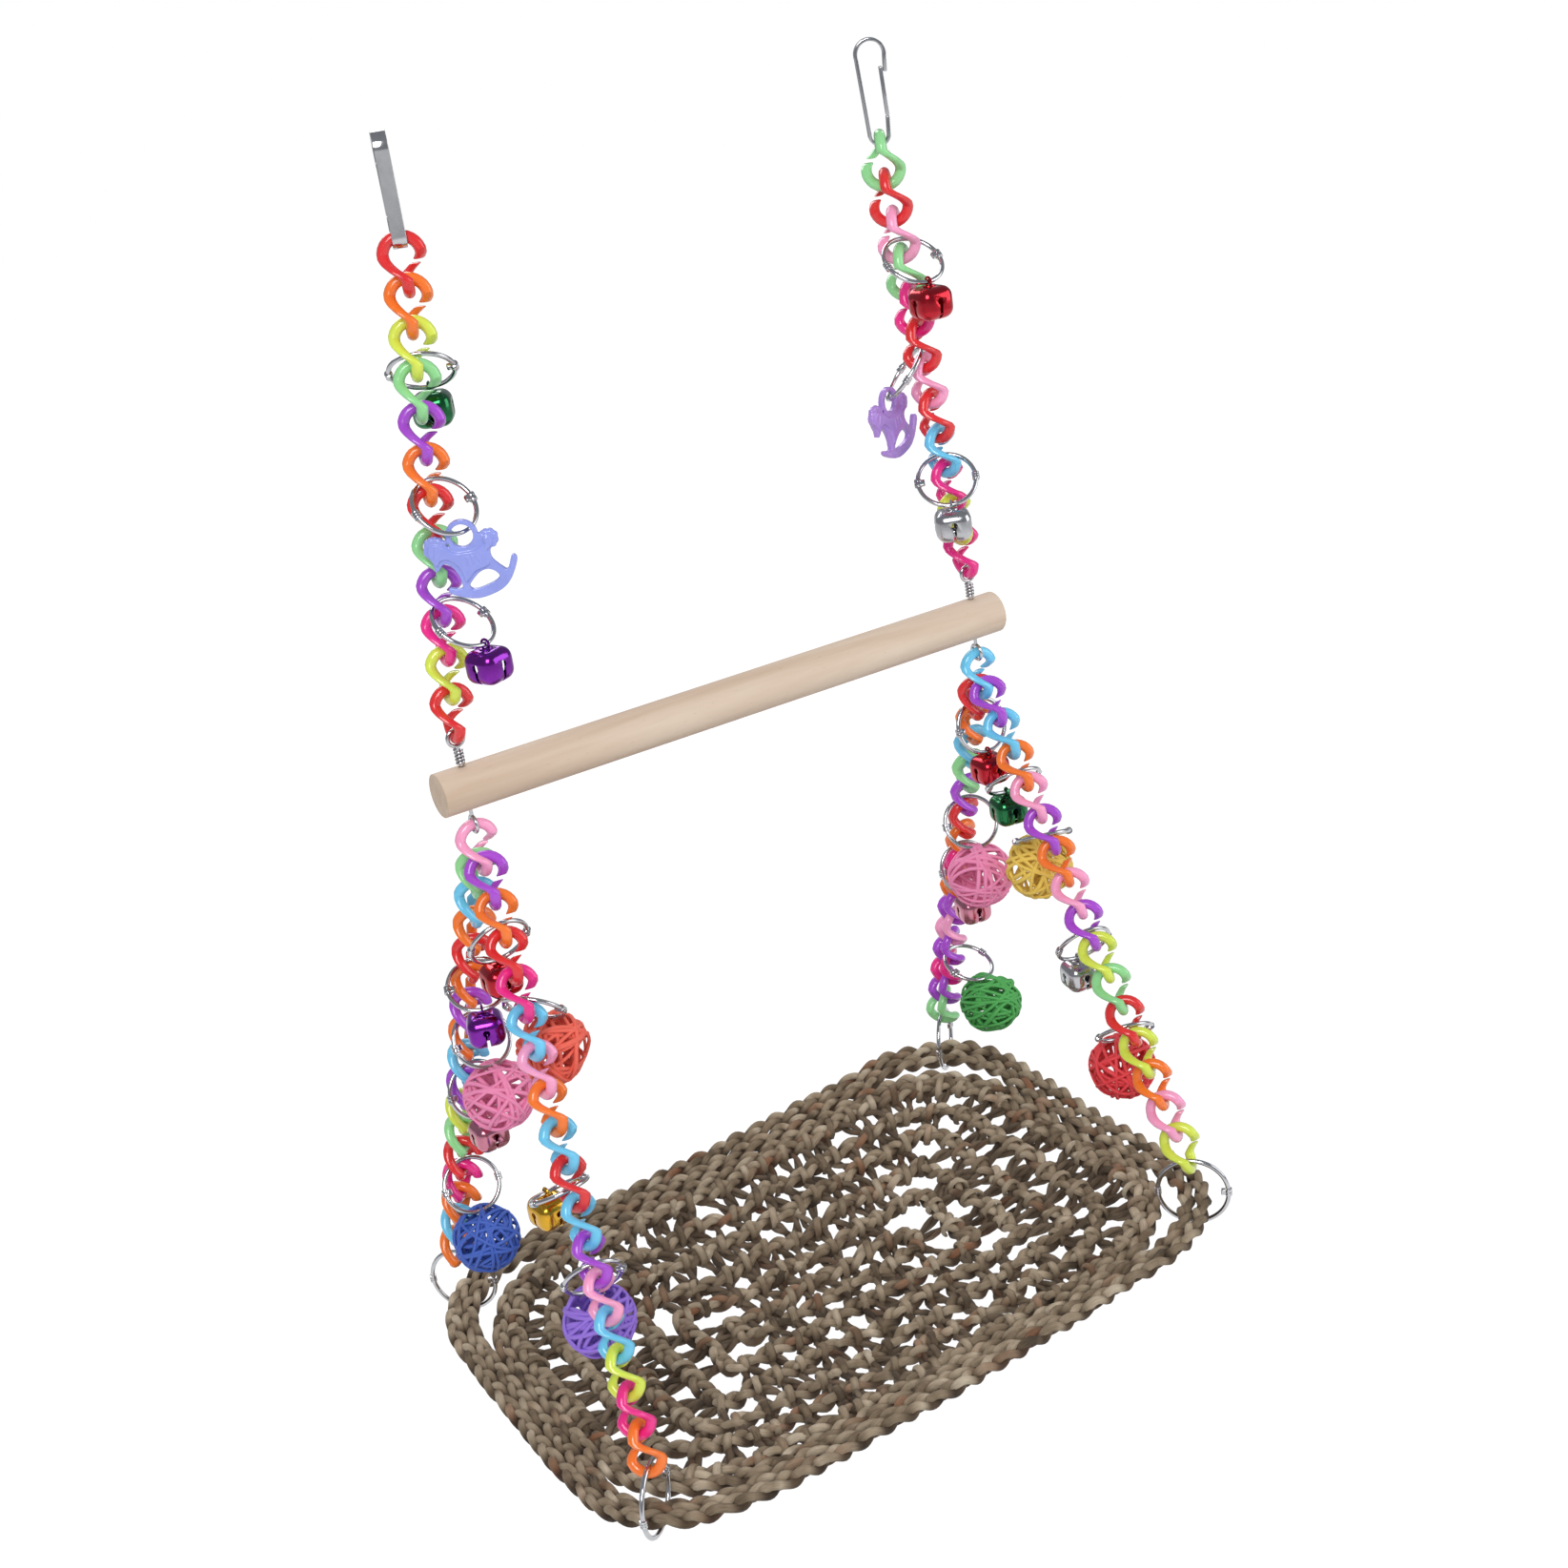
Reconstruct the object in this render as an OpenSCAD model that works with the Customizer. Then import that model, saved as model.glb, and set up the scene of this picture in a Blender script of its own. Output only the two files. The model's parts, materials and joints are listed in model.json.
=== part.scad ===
/* [Layout] */
// Distance between the two hanging points
hook_spacing = 196; // [170:1:240]
// Links in each upper chain, from hook to perch
upper_links = 12; // [11:1:14]
// Links in each left leg chain, below the shared link
left_leg_links = 16; // [15:1:18]
// Links in each right leg chain, below the shared link
right_leg_links = 15; // [14:1:17]

/* [Snap hooks] */
// Outer width of the top loop
hook_loop_w = 12; // [11:0.5:16]
// From the centre of the top loop to the centre of the lower eye
hook_reach = 29; // [27:0.5:38]
// Thickness of the spring strip
strip_t = 1.2; // [0.8:0.1:1.4]
// Width of the spring strip
strip_w = 5; // [4:0.5:7]
// Depth below the loop centre at which the gate starts
gate_top = 7; // [6:0.5:9]
// Length of the gate
gate_len = 16; // [13:0.5:17]
// Length by which the gate laps inside the nose
gate_lap = 1.8; // [1:0.2:2.4]

/* [Chain links] */
// Thickness of the link's round section
link_t = 4.2; // [3.6:0.1:4.4]
// Overall length of a link
link_len = 23.3; // [21.5:0.1:26]
// Overall width of a link
link_w = 17.4; // [16.8:0.1:18]
// Width of the slit that lets a link be opened
link_slit = 1.4; // [0.8:0.2:2]
// Free play between linked pieces
play = 0.3; // [0.2:0.05:0.5]
// Extra play where the second links swing in the first ones
swing_slack = 0.6; // [0.4:0.1:0.6]
// Share of it that goes to the third links, which sway on the second ones
sway_slack = 0.2; // [0.1:0.05:0.25]

/* [Charm rings] */
// Outer diameter of a charm ring
ring_d = 25; // [23:0.5:28]
// Wire thickness of a charm ring
ring_wire = 1.8; // [1.4:0.1:2]
// Length of the ring's hinge and clasp barrels
barrel_len = 3.2; // [2:0.2:4]
// Thickness of the ring's hinge and clasp barrels
barrel_d = 3; // [2.4:0.1:3.4]
// Outer diameter of a corner ring
corner_ring_d = 31.6; // [31:0.2:36]
// Wire thickness of a corner ring
corner_wire = 2; // [1.6:0.1:2.4]

/* [Bells] */
// Width of a bell
bell_w = 14.5; // [12:0.5:16]
// Height of a bell's body
bell_h = 12.5; // [11:0.5:15]
// Wall of a bell
bell_wall = 0.6; // [0.4:0.1:0.8]
// Width of the cross slots in a bell
bell_slot = 1.3; // [1:0.1:2]
// Diameter of the jingle pellet inside a bell
pellet_d = 4; // [3:0.5:5]
// Wire thickness of a bell's eye
eye_wire = 1; // [0.8:0.1:1.2]

/* [Wicker balls] */
// Diameter of a ball
ball_d = 30; // [26:1:32]
// Thickness of one strip
ball_strip_t = 0.5; // [0.3:0.05:0.6]
// Width of the strips
ball_strip_w = 2.8; // [2:0.1:3]

/* [Rocking horses] */
// Overall width of a horse, nose to rocker tip
horse_w = 32; // [28:0.5:34]
// Thickness of a horse's body
horse_t = 4; // [3:0.5:5]
// Thickness of the hanging loop and the rocker
horse_edge_t = 2.4; // [2:0.2:2.8]

/* [Perch] */
// Diameter of the perch
perch_d = 17; // [14:0.5:20]
// Length of the perch
perch_len = 252; // [245:1:290]
// Distance between the two wire holes
perch_holes = 230; // [210:1:235]
// Diameter of each wire hole
perch_bore = 2.2; // [2:0.1:3]
// Thickness of the eye wires
wire_d = 1.5; // [1.2:0.1:1.6]
// Bare wire between the perch and the upper chain
wire_rise = 9; // [7:0.5:12]

/* [Mat] */
// Outer length of the mat
mat_l = 304; // [290:1:330]
// Outer width of the mat
mat_w = 226; // [212:1:250]
// Thickness of the three border cords
cord_d = 6.8; // [6.2:0.1:7]
// Gap between neighbouring border cords
cord_gap = 0; // [0:0.1:0.4]
// Corner radius of the outer border cord
corner_r = 50; // [44:1:60]
// Extra slack of the inner cord where the corner rings pass
corner_slack = 8; // [7.5:0.5:10]
// Thickness of the net's cord
net_t = 6; // [5:0.5:7]
// Width of the net's strands
net_strand_w = 6; // [5:0.2:7]
// Gaps along the length
net_nx = 18; // [16:1:20]
// Gaps across the width
net_ny = 13; // [11:1:14]
// How far the edges sag between the corners
edge_sag = 7; // [4:0.5:12]
// How far the middle sags below the edges
mid_sag = 16; // [10:1:26]

/* [Hidden] */
$fn = 48;
cut = 1;

// Colours of the links and charms
red = [0.88, 0.13, 0.15];
orange = [0.98, 0.47, 0.12];
lime = [0.86, 0.93, 0.30];
mint = [0.58, 0.88, 0.58];
blue = [0.42, 0.76, 0.94];
purple = [0.66, 0.27, 0.80];
pink = [0.98, 0.62, 0.78];
magenta = [0.93, 0.12, 0.55];
chrome = [0.78, 0.78, 0.80];

// Colour of each link from the top down
left_colours = [red, orange, lime, mint, purple, orange, red, mint, purple, magenta, lime, red];
right_colours = [mint, red, pink, mint, magenta, red, pink, red, blue, magenta, lime, magenta];
front_left_colours = [purple, orange, red, magenta, blue, pink, orange, blue,
    red, blue, purple, pink, blue, lime, magenta, orange];
rear_left_colours = [mint, blue, orange, red, orange, purple, orange, blue,
    purple, lime, mint, red, magenta, orange, blue, orange];
front_right_colours = [purple, blue, orange, pink, purple, orange, pink, purple,
    lime, mint, red, lime, orange, pink, lime];
rear_right_colours = [red, orange, blue, mint, purple, red, orange, magenta,
    orange, purple, pink, purple, magenta, purple, mint];

// Geometry of one link and of the run of a chain
link_r = (link_w - link_t) / 2;
link_c = link_len - link_t;
pitch = link_len - 2 * link_t - play;
link_sides = 6;
link_arc_steps = 4;
twist_start_share = 0.25;
twist_end_share = 0.75;

// Heights on the way down
eye_dip = link_r - sqrt(link_r * link_r - (strip_w / 2 + play) * (strip_w / 2 + play));
eye_r = link_t / 2 + play + eye_dip;
first_z = -hook_reach;
second_z = first_z - pitch + swing_slack;
upper_run = (upper_links - 2) * pitch + link_c;
upper_out = (perch_holes - hook_spacing) / 2;
perch_eye_z = second_z - sqrt(upper_run * upper_run - upper_out * upper_out);
wire_eye_r = link_t / 2 + play + wire_d / 2;
perch_z = perch_eye_z - link_t / 2 - wire_rise - perch_d / 2;
shared_z = perch_z - perch_d / 2 - play - wire_d - link_t - play;
fork_in = (link_t + play) / 2;
fork_r = link_r - link_t - play;
fork_z = shared_z - link_c + link_r - sqrt(max(fork_r * fork_r - fork_in * fork_in, 0));

// Border cords as rounded rectangles: half length, half width, corner radius
cord_pitch = cord_d + cord_gap;
outer_rr = [mat_l / 2 - cord_d / 2, mat_w / 2 - cord_d / 2, corner_r];
middle_rr = [outer_rr[0] - cord_pitch, outer_rr[1] - cord_pitch, corner_r - cord_pitch];
diagonal_share = 1 - sqrt(0.5);
inner_rr = [middle_rr[0] - cord_pitch, middle_rr[1] - cord_pitch,
    middle_rr[2] - cord_pitch + corner_slack * sqrt(0.5) / diagonal_share];
edge_off = cord_d / 2 + cord_gap + net_strand_w / 2;
net_rr = [inner_rr[0] - edge_off, inner_rr[1] - edge_off, inner_rr[2] - edge_off];

// Corner rings hang from the legs and pass round the two outer cords
corner_rr = corner_ring_d / 2 - corner_wire / 2;
grip_x = outer_rr[0] - corner_r + (corner_r - cord_pitch / 2) * sqrt(0.5);
grip_y = outer_rr[1] - corner_r + (corner_r - cord_pitch / 2) * sqrt(0.5);
cord_slant = 0.7;
grip_in = corner_rr - corner_wire / 2 - cord_d / 2 - play - cord_slant;
grip_drop = sqrt(grip_in * grip_in - cord_pitch * cord_pitch / 4);
ring_lift = link_t / 2 + corner_wire / 2 + 2 * play;
leg_span = norm([grip_x - perch_holes / 2, grip_y - fork_in]);
left_run = (left_leg_links - 1) * pitch + link_c;
right_run = (right_leg_links - 1) * pitch + link_c;
left_leg_end = fork_z - sqrt(left_run * left_run - leg_span * leg_span);
right_leg_end = fork_z - sqrt(right_run * right_run - leg_span * leg_span);
left_ring_z = left_leg_end + ring_lift - corner_rr;
right_ring_z = right_leg_end + ring_lift - corner_rr;
mat_tilt = asin((right_ring_z - left_ring_z) / (2 * grip_x));
grip_sag = sag(grip_x, grip_y);
mat_z = (left_ring_z + right_ring_z) / 2 - grip_drop - grip_sag;

// Height of the mat's middle surface over its own flat plane
function sag(x, y) = let (u = pow(x / outer_rr[0], 2), v = pow(y / outer_rr[1], 2))
    -edge_sag * (1 - u * v) - mid_sag * (1 - u) * (1 - v);

// Chains: start, end, turn of the first link and of the last one, number of links, colours
corner_turn = 45;
fork_turn = -10;
chains = [
    [[-hook_spacing / 2, 0, second_z], [-perch_holes / 2, 0, perch_eye_z],
        -16, 0, upper_links - 1, left_colours, 1],
    [[hook_spacing / 2, 0, second_z], [perch_holes / 2, 0, perch_eye_z],
        57, 0, upper_links - 1, right_colours, 1],
    [[-perch_holes / 2, -fork_in, fork_z], [-grip_x, -grip_y, left_leg_end],
        fork_turn, corner_turn, left_leg_links, front_left_colours, 0],
    [[-perch_holes / 2, fork_in, fork_z], [-grip_x, grip_y, left_leg_end],
        fork_turn, -corner_turn, left_leg_links, rear_left_colours, 0],
    [[perch_holes / 2, -fork_in, fork_z], [grip_x, -grip_y, right_leg_end],
        fork_turn, -corner_turn, right_leg_links, front_right_colours, 0],
    [[perch_holes / 2, fork_in, fork_z], [grip_x, grip_y, right_leg_end],
        fork_turn, corner_turn, right_leg_links, rear_right_colours, 0]];

function unit(v) = v / norm(v);
function run_dir(c) = unit(chains[c][1] - chains[c][0]);
function run_az(c) = atan2(run_dir(c)[1], run_dir(c)[0]);
function run_tilt(c) = acos(-run_dir(c)[2]);
function run_turn(c, i) = chains[c][2] + (chains[c][3] - chains[c][2]) * i / (chains[c][4] - 1);
function run_top(c, i) = chains[c][0] + run_dir(c) * pitch * i;
function run_colour(c, i) = let (list = chains[c][5]) list[(i + chains[c][6]) % len(list)];

// Charms: chain, place of the link that the ring hangs in, way the ring leans, charm radius to clear
ring_rr = (ring_d - ring_wire) / 2;
charm_eye_r = ring_wire / 2 + play + eye_wire / 2;
bell_half = bell_w * 0.6;
bell_drop = charm_eye_r + bell_h / 2;
ball_r = ball_d / 2;
ball_drop = ball_r - ball_strip_t - play - ring_wire / 2;
horse_drop = horse_w * 0.03;
horse_turn = -128;
horse_slack = 1;
horse_half = (link_w / 2 + play + horse_t / 2 + horse_slack) / abs(sin(horse_turn)) - link_w / 2 - play;

// Lean of a ring that holds a charm of this radius clear of its chain
function lean(c, half, drop) = let (
        s = chains[c][6] == 1 ? 0 : sin(run_tilt(c)),
        b = asin(s),
        need = link_w / 2 + half + play)
    asin(min((need - drop * s) / (2 * ring_rr), 0.98)) - b;
// Where the ring's top wire rests in link i of chain c
function ring_top(c, i) = run_top(c, i + 1) - run_dir(c) * (link_t / 2 + play + ring_wire / 2);
leg_ring_swings = [0, 0, 0, -8, -3, 0];
function leg_facing(c) = run_az(c) + 90 + leg_ring_swings[c];

// Each hang: chain, link, direction of the ring's wire, side of the lean, charm radius, charm drop,
// and the lean itself where the charm needs another than its chain gives
left_green_hang = [0, 1, -28, 1, bell_half, bell_drop];
left_horse_hang = [0, 4, 10, -1, horse_half, horse_drop];
left_purple_hang = [0, 7, 24, -1, bell_half, bell_drop];
right_red_hang = [1, 1, 0, -1, bell_half, bell_drop];
right_horse_hang = [1, 4, 62, 1, horse_half, horse_drop];
right_silver_hang = bell_on(1, 7, 240, 44);
function leg_bell(c, i) = [c, i, leg_facing(c), 1, bell_half, bell_drop];
function leg_ball(c, i, swing = 0) = [c, i, leg_facing(c) + swing, 1, ball_r, ball_drop];
// The same where the charm hangs a chosen way round its chain, by a chosen lean of its ring
function bell_on(c, i, way, tip) = [c, i, way - 90, 1, bell_half, bell_drop, tip];
function ball_on(c, i, way, tip) = [c, i, way - 90, 1, ball_r, ball_drop, tip];
left_hangs = [left_green_hang, left_horse_hang, left_purple_hang];
right_hangs = [right_red_hang, right_horse_hang, right_silver_hang];
front_left_hangs = [bell_on(2, 1, 90, 32), ball_on(2, 3, 40, 44), bell_on(2, 8, 100, 64), leg_ball(2, 10)];
rear_left_hangs = [bell_on(3, 3, 250, 56), leg_ball(3, 5), leg_bell(3, 7), leg_ball(3, 11, -10)];
front_right_hangs = [bell_on(4, 2, 80, 48), ball_on(4, 4, 70, 64), bell_on(4, 7, 80, 36), ball_on(4, 10, 70, 48)];
rear_right_hangs = [bell_on(5, 0, 270, 14), leg_ball(5, 4, -8), leg_bell(5, 6), ball_on(5, 11, 290, 64)];
leg_hangs = concat(front_left_hangs, rear_left_hangs, front_right_hangs, rear_right_hangs);

function hang_lean(h) = len(h) > 6 ? h[3] * h[6] : h[3] * lean(h[0], h[4], h[5]);
function hang_point(h) = let (a = hang_lean(h), f = h[2])
    ring_top(h[0], h[1]) + 2 * ring_rr * [-sin(a) * sin(f), sin(a) * cos(f), -cos(a)];

// Twisted link: flat stadium path, then a quarter turn about the long axis
function ease(x) = x <= 0 ? 0 : x >= 1 ? 1 : x * x * (3 - 2 * x);
function ease_rate(x) = x <= 0 || x >= 1 ? 0 : 6 * x * (1 - x);
function twist_at(z) = (-z / link_c - twist_start_share) / (twist_end_share - twist_start_share);
function link_path() = let (m = -link_c / 2, n = link_arc_steps) concat(
    [[link_r, m + link_slit / 2, 0, 1]],
    [for (i = [0:n]) let (a = i * 180 / n)
        [link_r * cos(a), link_r * (sin(a) - 1), -sin(a), cos(a)]],
    [[-link_r, m, 0, -1]],
    [for (i = [0:n]) let (a = 180 + i * 180 / n)
        [link_r * cos(a), link_r * (sin(a) + 1) - link_c, -sin(a), cos(a)]],
    [[link_r, m - link_slit / 2, 0, 1]]);
function link_ring(p) = let (
        s = twist_at(p[1]),
        a = 90 * ease(s),
        rate = -PI / 2 * ease_rate(s) / (link_c * (twist_end_share - twist_start_share)),
        radial = [cos(a), sin(a), 0],
        side = [-sin(a), cos(a), 0],
        t = unit(p[2] * radial + p[3] * rate * p[0] * side + [0, 0, p[3]]),
        n = unit(side - (side * t) * t),
        b = cross(t, n),
        centre = p[0] * radial + [0, 0, p[1]])
    [for (k = [0:link_sides - 1]) let (w = 360 * k / link_sides)
        centre + link_t / 2 * (cos(w) * n - sin(w) * b)];
function flat(list) = [for (a = list) for (b = a) b];
// Triangles of a tube of m rings of n points, open with end caps or closed on itself
function tube_faces(m, n, closed) = concat(
    flat([for (i = [0:m - (closed ? 1 : 2)]) for (k = [0:n - 1]) let (
            a = i * n + k, b = i * n + (k + 1) % n,
            c = ((i + 1) % m) * n + k, d = ((i + 1) % m) * n + (k + 1) % n)
        [[a, b, c], [b, d, c]]]),
    closed ? [] : [for (k = [1:n - 2]) [0, k + 1, k]],
    closed ? [] : [for (k = [1:n - 2]) [(m - 1) * n, (m - 1) * n + k, (m - 1) * n + k + 1]]);
link_points = flat([for (p = link_path()) link_ring(p)]);
link_faces = tube_faces(len(link_path()), link_sides, false);

// Rounded rectangle: points with their outward directions
rr_corner_steps = 8;
rr_long_steps = 6;
rr_short_steps = 4;
function rr_side(p, q, n) = [for (i = [1:n - 1]) p + (q - p) * i / n];
function rr_arc(cx, cy, r, a0) = [for (i = [0:rr_corner_steps]) let (a = a0 + 90 * i / rr_corner_steps)
    [cx + r * cos(a), cy + r * sin(a)]];
function rr_path(s) = let (x = s[0] - s[2], y = s[1] - s[2]) concat(
    rr_arc(x, y, s[2], 0), rr_side([x, s[1]], [-x, s[1]], rr_long_steps),
    rr_arc(-x, y, s[2], 90), rr_side([-s[0], y], [-s[0], -y], rr_short_steps),
    rr_arc(-x, -y, s[2], 180), rr_side([-x, -s[1]], [x, -s[1]], rr_long_steps),
    rr_arc(x, -y, s[2], 270), rr_side([s[0], -y], [s[0], y], rr_short_steps));
cord_sides = 6;
function cord_points(s) = let (path = rr_path(s), n = len(path))
    flat([for (i = [0:n - 1]) let (
            p = path[i],
            t = unit(path[(i + 1) % n] - path[(i + n - 1) % n]),
            out = [t[1], -t[0], 0],
            c = [p[0], p[1], sag(p[0], p[1])])
        [for (k = [0:cord_sides - 1]) let (w = 360 * k / cord_sides)
            c + cord_d / 2 * (cos(w) * out + sin(w) * [0, 0, 1])]]);

// Net: a grid of knots bent into concentric rounds, with a hole in each cell
net_hole_share = 1 - net_strand_w * net_nx / (2 * net_rr[0]);
wobble_share = 0.09;
function knot_xy(i, j) = let (
        s = 2 * i / net_nx - 1, t = 2 * j / net_ny - 1, m = max(abs(s), abs(t)),
        r = net_rr[2] * m, x = abs(s) * net_rr[0], y = abs(t) * net_rr[1],
        cx = m * net_rr[0] - r, cy = m * net_rr[1] - r,
        v = [x - cx, y - cy],
        q = (x > cx && y > cy && norm(v) > 0) ? [cx, cy] + r * unit(v) : [x, y],
        inside = (i > 0 && j > 0 && i < net_nx && j < net_ny) ? wobble_share * net_strand_w : 0)
    [q[0] * sign(s) + inside * 2 * sin(97 * i + 211 * j), q[1] * sign(t) + inside * 2 * sin(163 * i + 71 * j)];
function knot(i, j, lift) = let (q = knot_xy(i, j)) [q[0], q[1], sag(q[0], q[1]) + lift];
function hole(i, j, di, dj) = let (
        c = (knot_xy(i, j) + knot_xy(i + 1, j) + knot_xy(i, j + 1) + knot_xy(i + 1, j + 1)) / 4,
        k = knot_xy(i + di, j + dj),
        grow = net_hole_share * (1 + wobble_share * sin(137 * i + 89 * j + 40 * di + 150 * dj)),
        q = c + (k - c) * grow)
    [q[0], q[1], sag(q[0], q[1])];
knots = (net_nx + 1) * (net_ny + 1);
function knot_id(i, j) = i * (net_ny + 1) + j;
function hole_id(i, j, n) = 2 * knots + 4 * (i * net_ny + j) + n;
rim_ij = concat(
    [for (i = [0:net_nx - 1]) [i, 0]], [for (j = [0:net_ny - 1]) [net_nx, j]],
    [for (i = [net_nx:-1:1]) [i, net_ny]], [for (j = [net_ny:-1:1]) [0, j]]);
rim_n = len(rim_ij);
rim_base = 2 * knots + 4 * net_nx * net_ny;
function rim_point(n) = let (
        p = knot_xy(rim_ij[n][0], rim_ij[n][1]),
        a = knot_xy(rim_ij[(n + rim_n - 1) % rim_n][0], rim_ij[(n + rim_n - 1) % rim_n][1]),
        b = knot_xy(rim_ij[(n + 1) % rim_n][0], rim_ij[(n + 1) % rim_n][1]),
        t = unit(b - a), q = p + net_strand_w / 2 * [t[1], -t[0]])
    [q[0], q[1], sag(q[0], q[1])];
net_points = concat(
    [for (i = [0:net_nx]) for (j = [0:net_ny]) knot(i, j, net_t / 2)],
    [for (i = [0:net_nx]) for (j = [0:net_ny]) knot(i, j, -net_t / 2)],
    flat([for (i = [0:net_nx - 1]) for (j = [0:net_ny - 1])
        [hole(i, j, 0, 0), hole(i, j, 1, 0), hole(i, j, 1, 1), hole(i, j, 0, 1)]]),
    [for (n = [0:rim_n - 1]) rim_point(n)]);
// One side of a strand between a knot pair and a hole's edge, seen from above
function net_side(a, b, h, g) = [[a, h, b], [b, h, g],
    [a + knots, b + knots, h], [b + knots, g, h]];
net_faces = concat(
    flat([for (i = [0:net_nx - 1]) for (j = [0:net_ny - 1]) concat(
        net_side(knot_id(i, j), knot_id(i + 1, j), hole_id(i, j, 0), hole_id(i, j, 1)),
        net_side(knot_id(i + 1, j), knot_id(i + 1, j + 1), hole_id(i, j, 1), hole_id(i, j, 2)),
        net_side(knot_id(i + 1, j + 1), knot_id(i, j + 1), hole_id(i, j, 2), hole_id(i, j, 3)),
        net_side(knot_id(i, j + 1), knot_id(i, j), hole_id(i, j, 3), hole_id(i, j, 0)))]),
    flat([for (n = [0:rim_n - 1]) let (
            m = (n + 1) % rim_n,
            a = knot_id(rim_ij[n][0], rim_ij[n][1]), b = knot_id(rim_ij[m][0], rim_ij[m][1]))
        net_side(b, a, rim_base + m, rim_base + n)]));

// Outline of a horse as shares of its width, from the centre of its hanging loop
horse_outline_shares = [
    [-0.356, -0.367], [-0.375, -0.246], [-0.447, -0.144], [-0.409, -0.042], [-0.341, -0.008],
    [-0.280, -0.008], [-0.205, -0.080], [-0.150, -0.110], [0.000, -0.150], [0.160, -0.070],
    [0.205, 0.010], [0.270, 0.022], [0.345, -0.012], [0.375, -0.080], [0.348, -0.170],
    [0.295, -0.178], [0.273, -0.246], [0.295, -0.322], [0.386, -0.420], [0.432, -0.440],
    [0.490, -0.310], [0.525, -0.292], [0.553, -0.345], [0.500, -0.473], [0.424, -0.587],
    [0.311, -0.670], [0.121, -0.723], [-0.030, -0.716], [-0.182, -0.663], [-0.255, -0.612],
    [-0.242, -0.566], [-0.150, -0.588], [-0.098, -0.580], [-0.106, -0.473], [-0.152, -0.360],
    [-0.227, -0.292], [-0.273, -0.300], [-0.303, -0.337]];
horse_gap_shares = [
    [0.000, -0.542], [0.106, -0.443], [0.197, -0.413], [0.273, -0.436], [0.326, -0.504],
    [0.273, -0.557], [0.136, -0.602], [0.030, -0.617], [-0.015, -0.587]];
horse_body_shares = [
    [-0.330, -0.300], [-0.400, -0.150], [-0.350, -0.060], [-0.230, -0.090], [-0.100, -0.180],
    [0.100, -0.180], [0.240, -0.120], [0.300, -0.090], [0.310, -0.140], [0.230, -0.220],
    [0.250, -0.340], [0.200, -0.380], [0.080, -0.410], [-0.040, -0.520], [-0.060, -0.440],
    [-0.100, -0.330], [-0.200, -0.240], [-0.290, -0.250]];
horse_loop_share = 0.178;
horse_hole_share = 0.125;
curve_steps = 3;
// Closed smooth curve through a list of points
function smooth(p, n) = let (m = len(p)) [for (i = [0:m - 1]) for (k = [0:n - 1]) let (
        t = k / n, a = p[(i + m - 1) % m], b = p[i], c = p[(i + 1) % m], d = p[(i + 2) % m])
    (2 * b + (c - a) * t + (2 * a - 5 * b + 4 * c - d) * t * t + (3 * b - a - 3 * c + d) * t * t * t) / 2];

// Snap hook: a strip bent into a long loop, wide at the top and narrow at the eye
hook_r = hook_loop_w / 2;
hook_yaw_left = 72;
hook_yaw_right = -28;
hook_top_in = hook_r - strip_t;
hook_slope = asin((hook_r - eye_r - strip_t) / hook_reach);
// The straight arms run a hair inside the arcs' tangents, so that arms and arcs cross cleanly
arm_in = 0.01;
module loop_block(r_top, r_eye, deep) {
    top = r_top - arm_in;
    low = r_eye - arm_in;
    cylinder(r = r_top, h = deep);
    translate([0, -hook_reach, 0]) cylinder(r = r_eye, h = deep);
    linear_extrude(deep) polygon([
        [top * cos(hook_slope), top * sin(hook_slope)],
        [low * cos(hook_slope), low * sin(hook_slope) - hook_reach],
        [-low * cos(hook_slope), low * sin(hook_slope) - hook_reach],
        [-top * cos(hook_slope), top * sin(hook_slope)]]);
}
// Frame of the gated arm: origin on the strip's middle at the gate's root, up the arm
gate_root = gate_top + gate_len;
module at_gate_root() {
    mid = hook_r - strip_t / 2;
    translate([mid * cos(hook_slope), mid * sin(hook_slope), 0])
        rotate([0, 0, -hook_slope])
            translate([0, -gate_root, 0]) children();
}
module hook_loop() {
    difference() {
        loop_block(hook_r, eye_r + strip_t, strip_w);
        translate([0, 0, -play]) loop_block(hook_top_in, eye_r, strip_w + 2 * play);
        at_gate_root() translate([-strip_t, 0, -play])
            cube([2 * strip_t, gate_len, strip_w + 2 * play]);
    }
}
gate_lean = asin((strip_t + play) / gate_len);
module gate_profile() {
    at_gate_root() rotate([0, 0, gate_lean]) {
        translate([-strip_t / 2, play]) square([strip_t, gate_len + gate_lap - play]);
    }
}
module hung(x, yaw) {
    translate([x, 0, 0]) rotate([90, 0, yaw]) translate([0, 0, -strip_w / 2]) children();
}
module hook(x, yaw) {
    color(chrome) hung(x, yaw) hook_loop();
}
module gate(x, yaw) {
    color(chrome) hung(x, yaw) linear_extrude(strip_w) gate_profile();
}

module link() {
    polyhedron(link_points, link_faces);
}
module first_link(x, turn, colour) {
    color(colour) translate([x, 0, first_z]) rotate([0, 0, turn]) link();
}
module chain_link(c, i) {
    color(run_colour(c, i)) translate(run_top(c, i)) rotate([0, 0, run_az(c)])
        rotate([0, -run_tilt(c), 0]) rotate([0, 0, run_turn(c, i) - run_az(c)]) link();
}
// Every link of one colour between two places of a chain
module links_of(c, from, to, colour) {
    for (i = [from:to]) if (run_colour(c, i) == colour) chain_link(c, i);
}
module shared_link(side, colour) {
    color(colour) translate([side * perch_holes / 2, 0, shared_z]) link();
}
module leg_links(colour) {
    for (c = [2:5]) links_of(c, 0, chains[c][4] - 1, colour);
}

module torus(r, wire) {
    rotate_extrude() translate([r, 0]) circle(wire / 2);
}
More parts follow.
